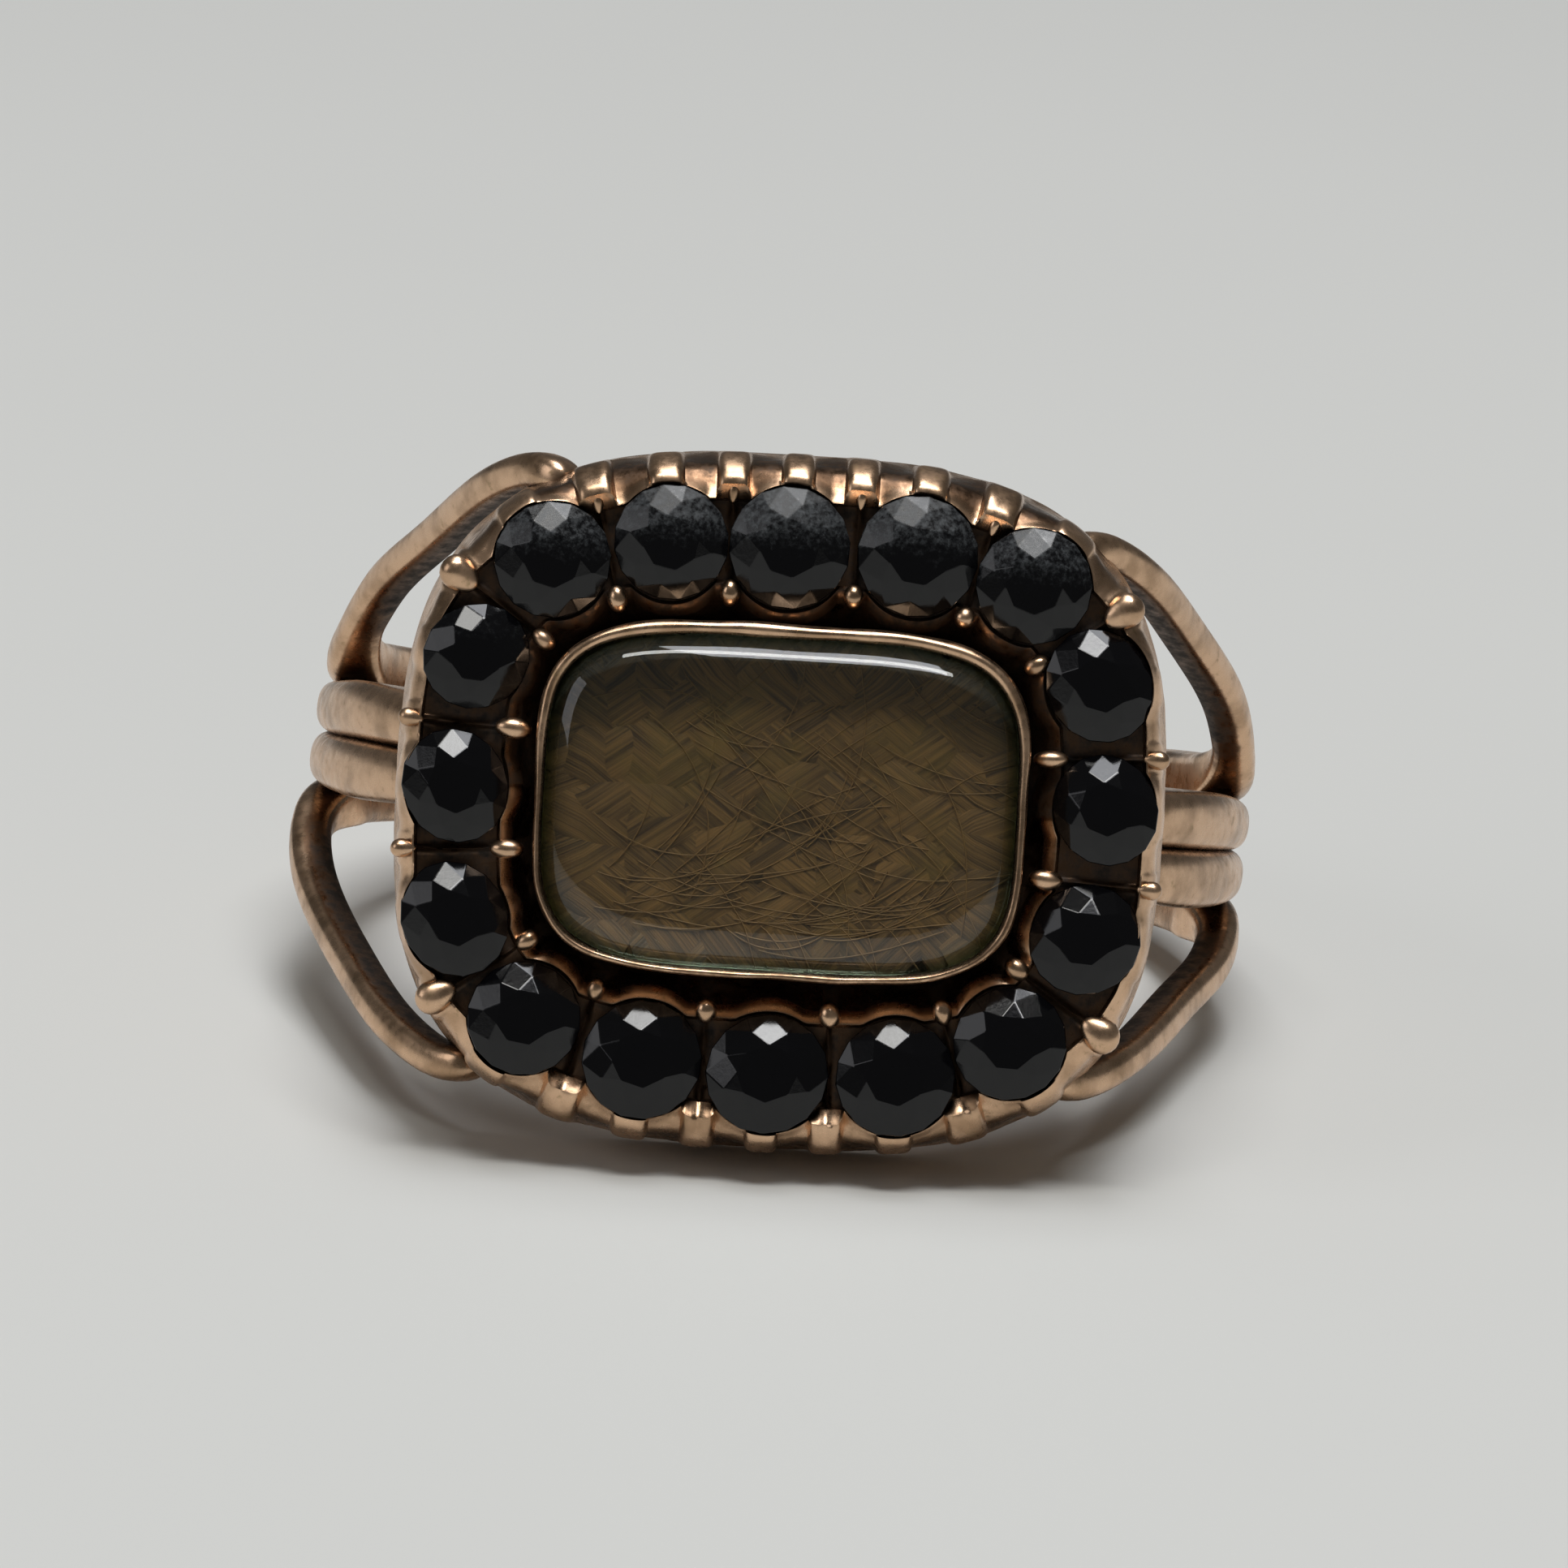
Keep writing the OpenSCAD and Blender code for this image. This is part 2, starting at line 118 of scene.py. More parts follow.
@dataclass(frozen=True)
class Cushion:
    """A cushion outline: a superellipse across the head."""

    width: float
    length: float
    power: float

    def at(self, degrees: float) -> Vector:
        """Return the outline's point at an angle, clockwise from the top."""
        a = math.radians(degrees)
        s, c = math.sin(a), math.cos(a)
        x = math.copysign(abs(s) ** (2 / self.power), s) * self.width / 2
        y = math.copysign(abs(c) ** (2 / self.power), c) * self.length / 2
        return Vector((x, y, 0))

    def inside(self, p: Vector) -> float:
        """Return how far out a point is: 1 on the outline, less within it."""
        x = abs(p.x) / (self.width / 2)
        y = abs(p.y) / (self.length / 2)
        return (x**self.power + y**self.power) ** (1 / self.power)

    def grown(self, by: float) -> "Cushion":
        """Return the outline moved outwards by a distance."""
        return Cushion(self.width + 2 * by, self.length + 2 * by, self.power)

    def even(self, count: int) -> list[Vector]:
        """Return points at even steps of length round the outline, clockwise from the top."""
        steps = count * 16
        dense = [self.at(360 * i / steps) for i in range(steps + 1)]
        lengths = [0.0]
        for a, b in zip(dense, dense[1:]):
            lengths.append(lengths[-1] + (b - a).length)
        points, j = [], 0
        for i in range(count):
            target = lengths[-1] * i / count
            while lengths[j + 1] < target:
                j += 1
            share = (target - lengths[j]) / (lengths[j + 1] - lengths[j])
            points.append(dense[j].lerp(dense[j + 1], share))
        return points


STONE_ROW = Cushion(12.74, 10.34, 3.27)
GLASS_OUTLINE = Cushion(9.3, 6.56, 4.2)

STONES = 16
HALVES = 2 * STONES
BACK_Z = 8.9
GIRDLE_Z = 11.42


class StonePath:
    """The line through the stones' middles, counted in half stones from the top middle one."""

    def __init__(self, outline: Cushion, steps: int = 720) -> None:
        """Measure the outline.

        Args:
            outline: The outline that the stones' middles lie on.
            steps: The number of straight steps it is measured by.
        """
        self.dense = [outline.at(360 * i / steps) for i in range(steps + 1)]
        self.lengths = [0.0]
        for a, b in zip(self.dense, self.dense[1:]):
            self.lengths.append(self.lengths[-1] + (b - a).length)

    def at(self, half: float) -> Vector:
        """Return the point at a place counted in half stones."""
        target = (half % HALVES) / HALVES * self.lengths[-1]
        low, high = 0, len(self.lengths) - 1
        while high - low > 1:
            middle = (low + high) // 2
            if self.lengths[middle] <= target:
                low = middle
            else:
                high = middle
        span = self.lengths[high] - self.lengths[low]
        return self.dense[low].lerp(self.dense[high], (target - self.lengths[low]) / span)

    def out(self, half: float) -> Vector:
        """Return the unit direction away from the head's middle at a place."""
        along = self.at(half + 0.3) - self.at(half - 0.3)
        return Vector((-along.y, along.x, 0)).normalized()

    def reach(self, half: float, outline: Cushion, sign: int = 1) -> float:
        """Return how far an outline lies from the path at a place: outwards with sign 1, inwards with -1."""
        p, d = self.at(half), self.out(half)
        low, high = 0.0, 3.0
        for _ in range(24):
            middle = (low + high) / 2
            if (outline.inside(p + d * (middle * sign)) - 1) * sign < 0:
                low = middle
            else:
                high = middle
        return low


PATH = StonePath(STONE_ROW)


class Bench:
    """Blender's operators as the jeweller's bench uses them, with everything else deselected first."""

    @staticmethod
    def clear() -> None:
        """Leave edit mode and deselect everything."""
        if bpy.context.object and bpy.context.object.mode != "OBJECT":
            bpy.ops.object.mode_set(mode="OBJECT")
        bpy.ops.object.select_all(action="DESELECT")

    @staticmethod
    def pick(*pieces: bpy.types.Object) -> None:
        """Select pieces alone, the first one active."""
        Bench.clear()
        for piece in pieces:
            piece.select_set(True)
        bpy.context.view_layer.objects.active = pieces[0]

    @staticmethod
    def sweep(name: str, rings: Sequence[Sequence[Vector]], closed: bool = False) -> bpy.types.Object:
        """Extrude a section ring by ring.

        Args:
            name: The new object's name.
            rings: The section at each step, with the same number of points in each.
            closed: Whether the last ring meets the first one. Otherwise both ends are filled.

        Returns:
            The swept object, in millimetres.
        """
        Bench.clear()
        count = len(rings[0])
        fill = "NOTHING" if closed else "NGON"
        bpy.ops.mesh.primitive_circle_add(vertices=count, radius=1, fill_type=fill)
        piece = bpy.context.object
        piece.name = piece.data.name = name
        for vertex, point in zip(piece.data.vertices, rings[0]):
            vertex.co = point
        bpy.ops.object.mode_set(mode="EDIT")
        bpy.ops.mesh.select_all(action="SELECT")
        places = list(range(count))
        for ring in rings[1:]:
            mesh = bmesh.from_edit_mesh(piece.data)
            ranks = dict(zip((v.co.copy().freeze() for v in mesh.verts if v.select), places))
            bpy.ops.mesh.extrude_region_move()
            mesh = bmesh.from_edit_mesh(piece.data)
            fresh = [v for v in mesh.verts if v.select]
            places = [ranks[v.co.copy().freeze()] for v in fresh]
            for vertex, place in zip(fresh, places):
                vertex.co = ring[place]
            bmesh.update_edit_mesh(piece.data)
        if closed:
            Bench.close_sweep(piece, rings[0], rings[-1])
        bpy.ops.mesh.select_all(action="SELECT")
        bpy.ops.mesh.normals_make_consistent(inside=False)
        bpy.ops.object.mode_set(mode="OBJECT")
        return piece

    @staticmethod
    def close_sweep(piece: bpy.types.Object, first: Sequence[Vector], last: Sequence[Vector]) -> None:
        """Bridge the last ring of an open sweep to its first one."""
        ends = {tuple(round(x, 4) for x in p) for ring in (first, last) for p in ring}
        mesh = bmesh.from_edit_mesh(piece.data)
        bpy.ops.mesh.select_all(action="DESELECT")
        mesh.select_mode = {"EDGE"}
        for edge in mesh.edges:
            if edge.is_boundary and all(tuple(round(x, 4) for x in v.co) in ends for v in edge.verts):
                edge.select_set(True)
        bmesh.update_edit_mesh(piece.data)
        bpy.ops.mesh.bridge_edge_loops()

    @staticmethod
    def modify(piece: bpy.types.Object, kind: str, **settings: object) -> None:
        """Add a modifier with its settings and apply it."""
        Bench.pick(piece)
        modifier = piece.modifiers.new(kind.title(), kind)
        for key, value in settings.items():
            setattr(modifier, key, value)
        bpy.ops.object.modifier_apply(modifier=modifier.name)

    @staticmethod
    def join(name: str, pieces: Sequence[bpy.types.Object]) -> bpy.types.Object:
        """Join pieces into one object under a new name."""
        Bench.pick(*pieces)
        if len(pieces) > 1:
            bpy.ops.object.join()
        joined = bpy.context.object
        joined.name = joined.data.name = name
        return joined

    @staticmethod
    def place(piece: bpy.types.Object, matrix: Matrix) -> None:
        """Move a piece by a matrix and apply it to the mesh."""
        piece.matrix_world = matrix @ piece.matrix_world
        Bench.pick(piece)
        bpy.ops.object.transform_apply(location=True, rotation=True, scale=True)

    @staticmethod
    def copies(model: bpy.types.Object, matrices: Iterable[Matrix], name: str) -> bpy.types.Object:
        """Set copies of a model, each with its own mesh, and join them.

        Args:
            model: The piece that is modelled once. It is removed.
            matrices: The place of each copy.
            name: The joined object's name.

        Returns:
            The joined copies.
        """
        made = []
        for matrix in matrices:
            Bench.pick(model)
            bpy.ops.object.duplicate(linked=False)
            copy = bpy.context.object
            Bench.place(copy, matrix)
            made.append(copy)
        bpy.data.objects.remove(model)
        return Bench.join(name, made)

    @staticmethod
    def soften(piece: bpy.types.Object, degrees: float) -> None:
        """Shade a piece smooth, with edges sharper than an angle kept."""
        Bench.pick(piece)
        bpy.ops.object.shade_smooth_by_angle(angle=math.radians(degrees))

    @staticmethod
    def lay_down(piece: bpy.types.Object) -> None:
        """Take a finished piece from worn millimetres to metres at rest."""
        Bench.place(piece, REST.matrix())

    @staticmethod
    def store(piece: bpy.types.Object, name: str, values: Sequence[float]) -> None:
        """Store a value for each of a piece's points."""
        layer = piece.data.attributes.new(name, "FLOAT", "POINT")
        layer.data.foreach_set("value", values)

    @staticmethod
    def tag(piece: bpy.types.Object, name: str, pairs: Iterable[tuple[Vector, float]]) -> None:
        """Store a value on a piece's points.

        Args:
            piece: The piece, with its points where they were made.
            name: The attribute's name.
            pairs: Each point's place and its value.
        """
        known = {tuple(round(x, 3) for x in place): value for place, value in pairs}
        Bench.store(piece, name, [known.get(tuple(round(x, 3) for x in v.co), 0.0) for v in piece.data.vertices])

    @staticmethod
    def wear(piece: bpy.types.Object, depth: float, grain: float, seed: float) -> None:
        """Move a piece's points a little, as years of wear leave them uneven.

        Args:
            piece: The piece, in millimetres.
            depth: The largest move.
            grain: The size of the unevenness.
            seed: Where in the noise the piece lies.
        """
        for vertex in piece.data.vertices:
            at = vertex.co / grain + Vector((seed, 0, 0))
            vertex.co += noise.noise_vector(at) * depth


# the first attribute is painted shade in recesses mixed with grime; the second is grime laid on with painted shade
# and painted highlights
RECESS_SHADE_DIRT = "recess_shade_and_dirt"
DIRT_AND_PAINTED_LIGHT = "dirt_and_painted_light"
WEAR_AND_SHEEN = "worn"
EDGE = "edge"
STRAND = "strand"
LAY = "lay"
RUN = "run"

RGBA = {"data_type": "RGBA"}
EASED = {"interpolation_type": "SMOOTHSTEP"}
SocketValue = float | str | bpy.types.NodeSocket


def linear(colour: str) -> tuple[float, float, float, float]:
    """Turn an sRGB hex colour into linear red, green, blue and alpha."""
    values = [int(colour[i : i + 2], 16) / 255 for i in (1, 3, 5)]
    r, g, b = (v / 12.92 if v <= 0.04045 else ((v + 0.055) / 1.055) ** 2.4 for v in values)
    return (r, g, b, 1.0)


def add_node(
    tree: bpy.types.NodeTree,
    kind: str,
    inputs: dict[str | int, SocketValue] | Sequence[SocketValue] = (),
    out: str | int = 0,
    **settings: object,
) -> bpy.types.NodeSocket | None:
    """Add a shader node with its settings, values and links.

    Args:
        tree: The node tree.
        kind: The node's type, without the ShaderNode that they all start with.
        inputs: Numbers, hex colours or sockets to link, in order or by the input's name or number.
        out: The name or number of the output that is wanted.
        **settings: The node's own properties.

    Returns:
        That output, or nothing from a node without one.
    """
    node = tree.nodes.new(f"ShaderNode{kind}")
    for key, value in settings.items():
        setattr(node, key, value)
    for key, value in inputs.items() if isinstance(inputs, dict) else enumerate(inputs):
        if isinstance(value, bpy.types.NodeSocket):
            tree.links.new(value, node.inputs[key])
        else:
            node.inputs[key].default_value = linear(value) if isinstance(value, str) else value
    return node.outputs[out] if node.outputs else None


def start_material(name: str) -> tuple[bpy.types.Material, bpy.types.NodeTree, bpy.types.NodeSocket]:
    """Make an empty material and return it with its node tree and the object's coordinates."""
    material = bpy.data.materials.new(name)
    material.use_nodes = True
    material.node_tree.nodes.clear()
    return material, material.node_tree, add_node(material.node_tree, "TexCoord", out="Object")


def coat(tree: bpy.types.NodeTree, inputs: dict[str, SocketValue]) -> None:
    """End a material with a Principled shader that has these inputs."""
    add_node(tree, "OutputMaterial", {"Surface": add_node(tree, "BsdfPrincipled", inputs, "BSDF")})


def grain_scale(millimetres: float) -> float:
    """Return the noise scale on Object coordinates whose features are about this size."""
    return 1 / (millimetres * MM)


@dataclass(frozen=True)
class RoseGold:
    """Rose gold, hand wrought: satin where fingers rub it, brown oxide and grime where they can't, with painted
    shade there too.
    """

    clean: str = "#d9b594"
    dull: str = "#b09072"
    stain: str = "#85724c"
    patina_and_shade: str = "#6e5541"
    dirt_and_shade: str = "#1a130d"
    roughness: float = 0.3
    hair_line_mm: float = 0.07
    cloud_mm: float = 0.9
    spot_mm: float = 0.3

    def material(self) -> bpy.types.Material:
        """Build the material."""
        material, tree, where = start_material("worn rose gold")
        cloud = {"Vector": where, "Scale": grain_scale(self.cloud_mm), "Detail": 4.0}
        spot = {"Vector": where, "Scale": grain_scale(self.spot_mm), "Detail": 6.0, "Roughness": 0.65}
        fine = {"Vector": where, "Scale": grain_scale(self.hair_line_mm), "Detail": 2.0}
        clouds, spots, lines = (add_node(tree, "TexNoise", inputs) for inputs in (cloud, spot, fine))
        # rubbed metal is pale, and dull and stained in patches
        share = add_node(tree, "MapRange", (clouds, 0.4, 0.68), **EASED)
        metal = add_node(tree, "Mix", {0: share, 6: self.clean, 7: self.dull}, 2, **RGBA)
        share = add_node(tree, "MapRange", (spots, 0.58, 0.72, 0.0, 0.5), **EASED)
        metal = add_node(tree, "Mix", {0: share, 6: metal, 7: self.stain}, 2, **RGBA)
        # recesses turn brown, and the deepest go near black without a metal's shine: oxide and grime with painted
        # shade
        recess_shade_and_dirt = add_node(tree, "Attribute", out="Fac", attribute_name=RECESS_SHADE_DIRT)
        uneven = add_node(tree, "Math", (spots, 0.5), operation="SUBTRACT")
        depth = add_node(tree, "Math", (uneven, 0.6, recess_shade_and_dirt), operation="MULTIPLY_ADD")
        share = add_node(tree, "MapRange", (depth, 0.26, 0.62), **EASED)
        metal = add_node(tree, "Mix", {0: share, 6: metal, 7: self.patina_and_shade}, 2, **RGBA)
        dirt_and_shade_share = add_node(tree, "MapRange", (depth, 0.58, 0.92), **EASED)
        gloss = (spots, 0.3, 0.75, self.roughness - 0.08, self.roughness + 0.1)
        gloss = add_node(tree, "MapRange", gloss, **EASED)
        height = add_node(tree, "Math", (spots, 3.0, lines), operation="MULTIPLY_ADD")
        coat(tree, {
            "Base Color": add_node(tree, "Mix", {0: dirt_and_shade_share, 6: metal, 7: self.dirt_and_shade}, 2, **RGBA),
            "Metallic": add_node(tree, "MapRange", (dirt_and_shade_share, 0.0, 1.0, 1.0, 0.3), **EASED),
            "Roughness": add_node(tree, "Math", (dirt_and_shade_share, 0.3, gloss), operation="MULTIPLY_ADD"),
            "Normal": add_node(tree, "Bump", {"Height": height, "Strength": 0.05, "Distance": 0.02 * MM}),
        })
        return material


@dataclass(frozen=True)
class CutJet:
    """Black glass or jet, cut and polished: near black with a blue cast, scuffed grey with a painted sheen on its
    upper side.
    """

    body: str = "#040406"
    rubbed_sheen: str = "#4b4e50"
    gloss: float = 0.09
    matt: float = 0.4
    scuff_mm: float = 0.12

    def material(self) -> bpy.types.Material:
        """Build the material."""
        material, tree, where = start_material("polished black stone")
        scuff = {"Vector": where, "Scale": grain_scale(self.scuff_mm), "Detail": 8.0, "Roughness": 0.7}
        scuffs = add_node(tree, "TexNoise", scuff)
        # the worn attribute lays scuffing and a painted grey sheen on each stone's upper side
        worn = add_node(tree, "Attribute", out="Fac", attribute_name=WEAR_AND_SHEEN)
        uneven = add_node(tree, "Math", (scuffs, -0.5), operation="ADD")
        mask = add_node(tree, "Math", (uneven, worn), operation="ADD")
        rubbed_sheen = add_node(tree, "MapRange", (mask, 0.25, 1.1), **EASED)
        share = add_node(tree, "MapRange", (scuffs, 0.35, 0.7), **EASED)
        grey = add_node(tree, "Mix", {0: share, 6: self.body, 7: self.rubbed_sheen}, 2, **RGBA)
        coat(tree, {
            "Base Color": add_node(tree, "Mix", {0: rubbed_sheen, 6: self.body, 7: grey}, 2, **RGBA),
            "Roughness": add_node(tree, "MapRange", (rubbed_sheen, 0.0, 1.0, self.gloss, self.matt), **EASED),
            "IOR": 1.5,
            "Specular IOR Level": 0.4,
            "Normal": add_node(tree, "Bump", {"Height": scuffs, "Strength": 0.12, "Distance": 0.01 * MM}),
        })
        return material


@dataclass(frozen=True)
class OldGlass:
    """Hand-ground old glass, clear with a green cast, darker green towards the rim where edge refraction is painted
    in.
    """

    clear: str = "#eeefe2"
    green: str = "#41583f"
    roughness: float = 0.03

    def material(self) -> bpy.types.Material:
        """Build the material."""
        material, tree, _ = start_material("old domed glass")
        edge = add_node(tree, "Attribute", out="Fac", attribute_name=EDGE)
        # darker green at the rim: the glass's own green with painted edge refraction
        share = add_node(tree, "MapRange", (edge, 0.84, 1.0), **EASED)
        tint = add_node(tree, "Mix", {0: share, 6: self.clear, 7: self.green}, 2, **RGBA)
        coat(tree, {"Base Color": tint, "Transmission Weight": 1.0, "Roughness": self.roughness, "IOR": 1.5})
        return material


@dataclass(frozen=True)
class BrownHair:
    """Fine brown hair in flat woven locks: a soft sheen along each hair, faded to olive here and there."""

    dark: str = "#30200f"
    light: str = "#7c5c33"
    olive: str = "#6d5824"
    patch_mm: float = 1.3
    hair_mm: float = 0.05
    tuft_mm: float = 0.22
    length_mm: float = 2.2

    def material(self) -> bpy.types.Material:
        """Build the material."""
        material, tree, where = start_material("woven brown hair")
        lay, run, strand = (add_node(tree, "Attribute", out="Fac", attribute_name=a) for a in (LAY, RUN, STRAND))
        along = add_node(tree, "Math", (run, 1 / self.length_mm), operation="MULTIPLY")
        apart = add_node(tree, "Math", (strand, 37.0), operation="MULTIPLY")
        # noise drawn out along the lock: single hairs, and the tufts that they lie in
        streaks = []
        for width in (self.hair_mm, self.tuft_mm):
            across = add_node(tree, "Math", (lay, 1 / width), operation="MULTIPLY")
            place = add_node(tree, "CombineXYZ", (across, along, apart))
            streaks.append(add_node(tree, "TexNoise", {"Vector": place, "Scale": 1.0, "Detail": 2.0}))
        tone = add_node(tree, "Math", streaks, operation="ADD")
        tone = add_node(tree, "Math", (strand, 0.35, tone), operation="MULTIPLY_ADD")
        share = add_node(tree, "MapRange", (tone, 0.8, 1.55), **EASED)
        hair = add_node(tree, "Mix", {0: share, 6: self.dark, 7: self.light}, 2, **RGBA)
        patch = {"Vector": where, "Scale": grain_scale(self.patch_mm), "Detail": 3.0}
        share = add_node(tree, "MapRange", (add_node(tree, "TexNoise", patch), 0.5, 0.75, 0.0, 0.5), **EASED)
        hair = add_node(tree, "Mix", {0: share, 6: hair, 7: self.olive}, 2, **RGBA)
        bump = add_node(tree, "Bump", {"Height": streaks[0], "Strength": 0.35, "Distance": 0.02 * MM})
        coat(tree, {"Base Color": hair, "Roughness": 0.5, "Normal": bump})
        return material


@dataclass(frozen=True)
class DarkCard:
    """The brown paper card that the hair is laid on."""

    paper: str = "#2d2318"
    fibre: str = "#4a3a28"
    fibre_mm: float = 0.08

    def material(self) -> bpy.types.Material:
        """Build the material."""
        material, tree, where = start_material("brown paper card")
        fibres = {"Vector": where, "Scale": grain_scale(self.fibre_mm), "Detail": 3.0}
        share = add_node(tree, "TexNoise", fibres)
        tone = add_node(tree, "Mix", {0: share, 6: self.paper, 7: self.fibre}, 2, **RGBA)
        coat(tree, {"Base Color": tone, "Roughness": 0.8})
        return material


class Slot(Enum):
    """The record's material slots."""

    GOLD = "gold"
    STONE = "black_stone"
    GLASS = "crystal_glass"
    HAIR = "woven_hair"


def finish_piece(piece: bpy.types.Object, material: bpy.types.Material, slot: Slot, *nodes: str) -> None:
    """Dress a finished piece and tie it to the frame.

    Args:
        piece: The piece, at rest and in metres.
        material: Its material.
        slot: Not used.
        *nodes: The CAD nodes that it stands for.
    """
    piece.data.materials.clear()
    piece.data.materials.append(material)
    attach(piece, "root")
    if nodes:
        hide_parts(*nodes)
    log.info("%s: %d faces", piece.name, len(piece.data.polygons))


@dataclass
class Hoop:
    """The reeded hoop: a middle pair of strands, and two outer ones that leave it as open shoulders."""

    finger_r: float = 8.6
    skew: float = 4.2
    groove: float = 0.36
    strand_mid_r: float = 9.3
    wire_w: float = 0.74
    wire_depth: float = 0.88
    wire_shift: float = 0.06
    # the way from a shoulder towards its opening, across the head, and how much grime and painted shade darken that
    # flank
    flank: tuple[float, float] = (0.76, 0.65)
    flank_dirt_and_shade: float = 0.85
    worn_by: float = 0.03
    worn_grain: float = 3.0
    # angle from the head, width of the pair, outer radius
    rows: tuple[tuple[float, float, float], ...] = (
        (0, 1.70, 9.50),
        (20, 1.70, 10.10),
        (32, 1.80, 10.50),
        (44, 2.15, 10.40),
        (58, 2.50, 10.10),
        (75, 2.30, 9.93),
        (90, 2.05, 9.90),
        (135, 1.80, 9.75),
        (180, 1.55, 9.60),
    )
    # the middle line of a shoulder wire, from the hoop's side to the head's corner
    wire: tuple[tuple[float, float, float], ...] = (
        (9.08, 1.44, -2.00),
        (9.27, 1.45, -0.80),
        (9.38, 1.68, 0.30),
        (9.30, 2.20, 1.30),
        (8.98, 2.90, 2.50),
        (8.27, 3.72, 4.40),
        (7.18, 4.80, 7.30),
        (6.20, 5.35, 8.90),
        (5.45, 5.30, 9.65),
    )
    # each corner: side of the hoop, side of the head, shift at the middle and at the end
    corners: tuple[tuple[float, ...], ...] = (
        (-1, 1, -0.22, 0.50, -1.05, 0.75),
        (1, 1, -0.10, 0.10, -0.10, -0.05),
        (-1, -1, 0.30, -0.10, 0.15, 0.20),
        (1, -1, 0.10, 0.00, -0.05, -0.15),
    )
    pair_rings: int = 160
    wire_rings: int = 48
    back_rings: int = 64

    def turned(self, p: Vector, degrees: float) -> Vector:
        """Turn a point about Z, as the hoop stands askew to the head."""
        return Matrix.Rotation(math.radians(degrees), 3, "Z") @ p

    def pair_width(self, degrees: float) -> float:
        """Return the pair's width at an angle from the head."""
        return lookup(degrees, self.rows, 1)

    def outer_r(self, degrees: float) -> float:
        """Return the hoop's outer radius at an angle from the head."""
        return lookup(degrees, self.rows, 2)

    def eased(self, degrees: float, value: Callable[[float], float]) -> float:
        """Return a value averaged over a few degrees, so that it changes softly."""
        spread = (-9, -6, -3, 0, 3, 6, 9)
        angles = (degrees + d for d in spread)
        return sum(value(abs(a) if a < 180 else 360 - a) for a in angles) / len(spread)

    def pair_section(self, width: float, radius: float) -> list[tuple[float, float]]:
        """Return the pair's section: two round lobes over a smooth inner side, by radius."""
        points = [(width / 2 - 0.16, self.finger_r), (0.0, self.finger_r), (-width / 2 + 0.16, self.finger_r)]
        points += [(-width / 2 + 0.03, self.finger_r + 0.06)]
        lobe_steps = 14
        for side in (-1, 1):
            for i in range(lobe_steps + 1):
                a = math.radians(mix(-84, 84, i / lobe_steps))
                drop = self.groove * (1 - math.cos(a)) ** 1.25 / (1 - math.cos(math.radians(84))) ** 1.25
                across = side * width / 4 + width / 4 * math.sin(a) / math.sin(math.radians(84))
                points.append((across, radius - drop))
        points.append((width / 2 - 0.03, self.finger_r + 0.06))
        return points

    def middle_pair(self) -> bpy.types.Object:
        """Sweep the middle pair of strands round the finger."""
        rings = []
        for i in range(self.pair_rings):
            a = 360 * i / self.pair_rings
            f = 360 - a if a > 180 else a
            section = self.pair_section(self.eased(f, self.pair_width), self.eased(f, self.outer_r))
            s, c = math.sin(math.radians(a)), math.cos(math.radians(a))
            rings.append([self.turned(Vector((r * s, y, r * c)), -self.skew) for y, r in section])
        return Bench.sweep("hoop_middle_pair", rings, closed=True)

    def curve_at(self, place: float) -> Vector:
        """Return a point of the shoulder's smooth middle line at a place counted in rows."""
        last = len(self.wire) - 1
        i = min(int(place), last - 1)
        t = place - i
        a, b, c, d = (Vector(self.wire[min(max(k, 0), last)]) for k in (i - 1, i, i + 1, i + 2))
        return 0.5 * (
            2 * b + (c - a) * t + (2 * a - 5 * b + 4 * c - d) * t * t + (3 * b - 3 * c + d - a) * t * t * t
        )

    def wire_at(self, corner: Sequence[float], t: float) -> Vector:
        """Return a point of one corner's wire, whose skew fades out towards the head."""
        p = self.curve_at(1 + t * (len(self.wire) - 2))
        side_x, side_y, mid_x, mid_y, end_x, end_y = corner
        bow, end = smooth(math.sin(math.pi * t)), smooth(t)
        x = side_x * (p.x + mid_x * bow + end_x * end)
        y = side_y * (p.y + mid_y * bow + end_y * end)
        return self.turned(Vector((x, y, p.z)), -self.skew * (1 - smooth(t)))

    def strand_w(self, degrees: float) -> float:
        """Return an outer strand's width at an angle from the head."""
        return mix(1.05, 0.85, math.cos(math.radians(degrees)) ** 2)

    def strand_at(self, side: float, degrees: float) -> Vector:
        """Return the middle line of an outer strand round the back."""
        y = self.pair_width(degrees) / 2 + self.strand_w(degrees) / 2 - 0.1
        a = math.radians(degrees)
        return Vector((self.strand_mid_r * math.sin(a), side * y, self.strand_mid_r * math.cos(a)))

    def wire_section(self, width: float, inner: float, outer: float, flat: float) -> list[tuple[float, float]]:
        """Return a strand's section: a low round crown, soft shoulders and a flatter underside.

        Args:
            width: The strand's width.
            inner: Its depth below the middle line.
            outer: Its height above the middle line.
            flat: 1 for a flat underside as on the hoop, 0 for the round one of a free wire.
        """
        points = []
        steps = 28
        for i in range(steps):
            a = 2 * math.pi * (i + 0.5) / steps
            s, c = math.sin(a), math.cos(a)
            square = mix(3.0, 2.4, flat) if c > 0 else mix(3.0, 6.0, flat)
            x = math.copysign(abs(s) ** (2 / square), s) * width / 2
            y = math.copysign(abs(c) ** (2 / square), c) * (outer if c > 0 else inner)
            points.append((x, y))
        return points

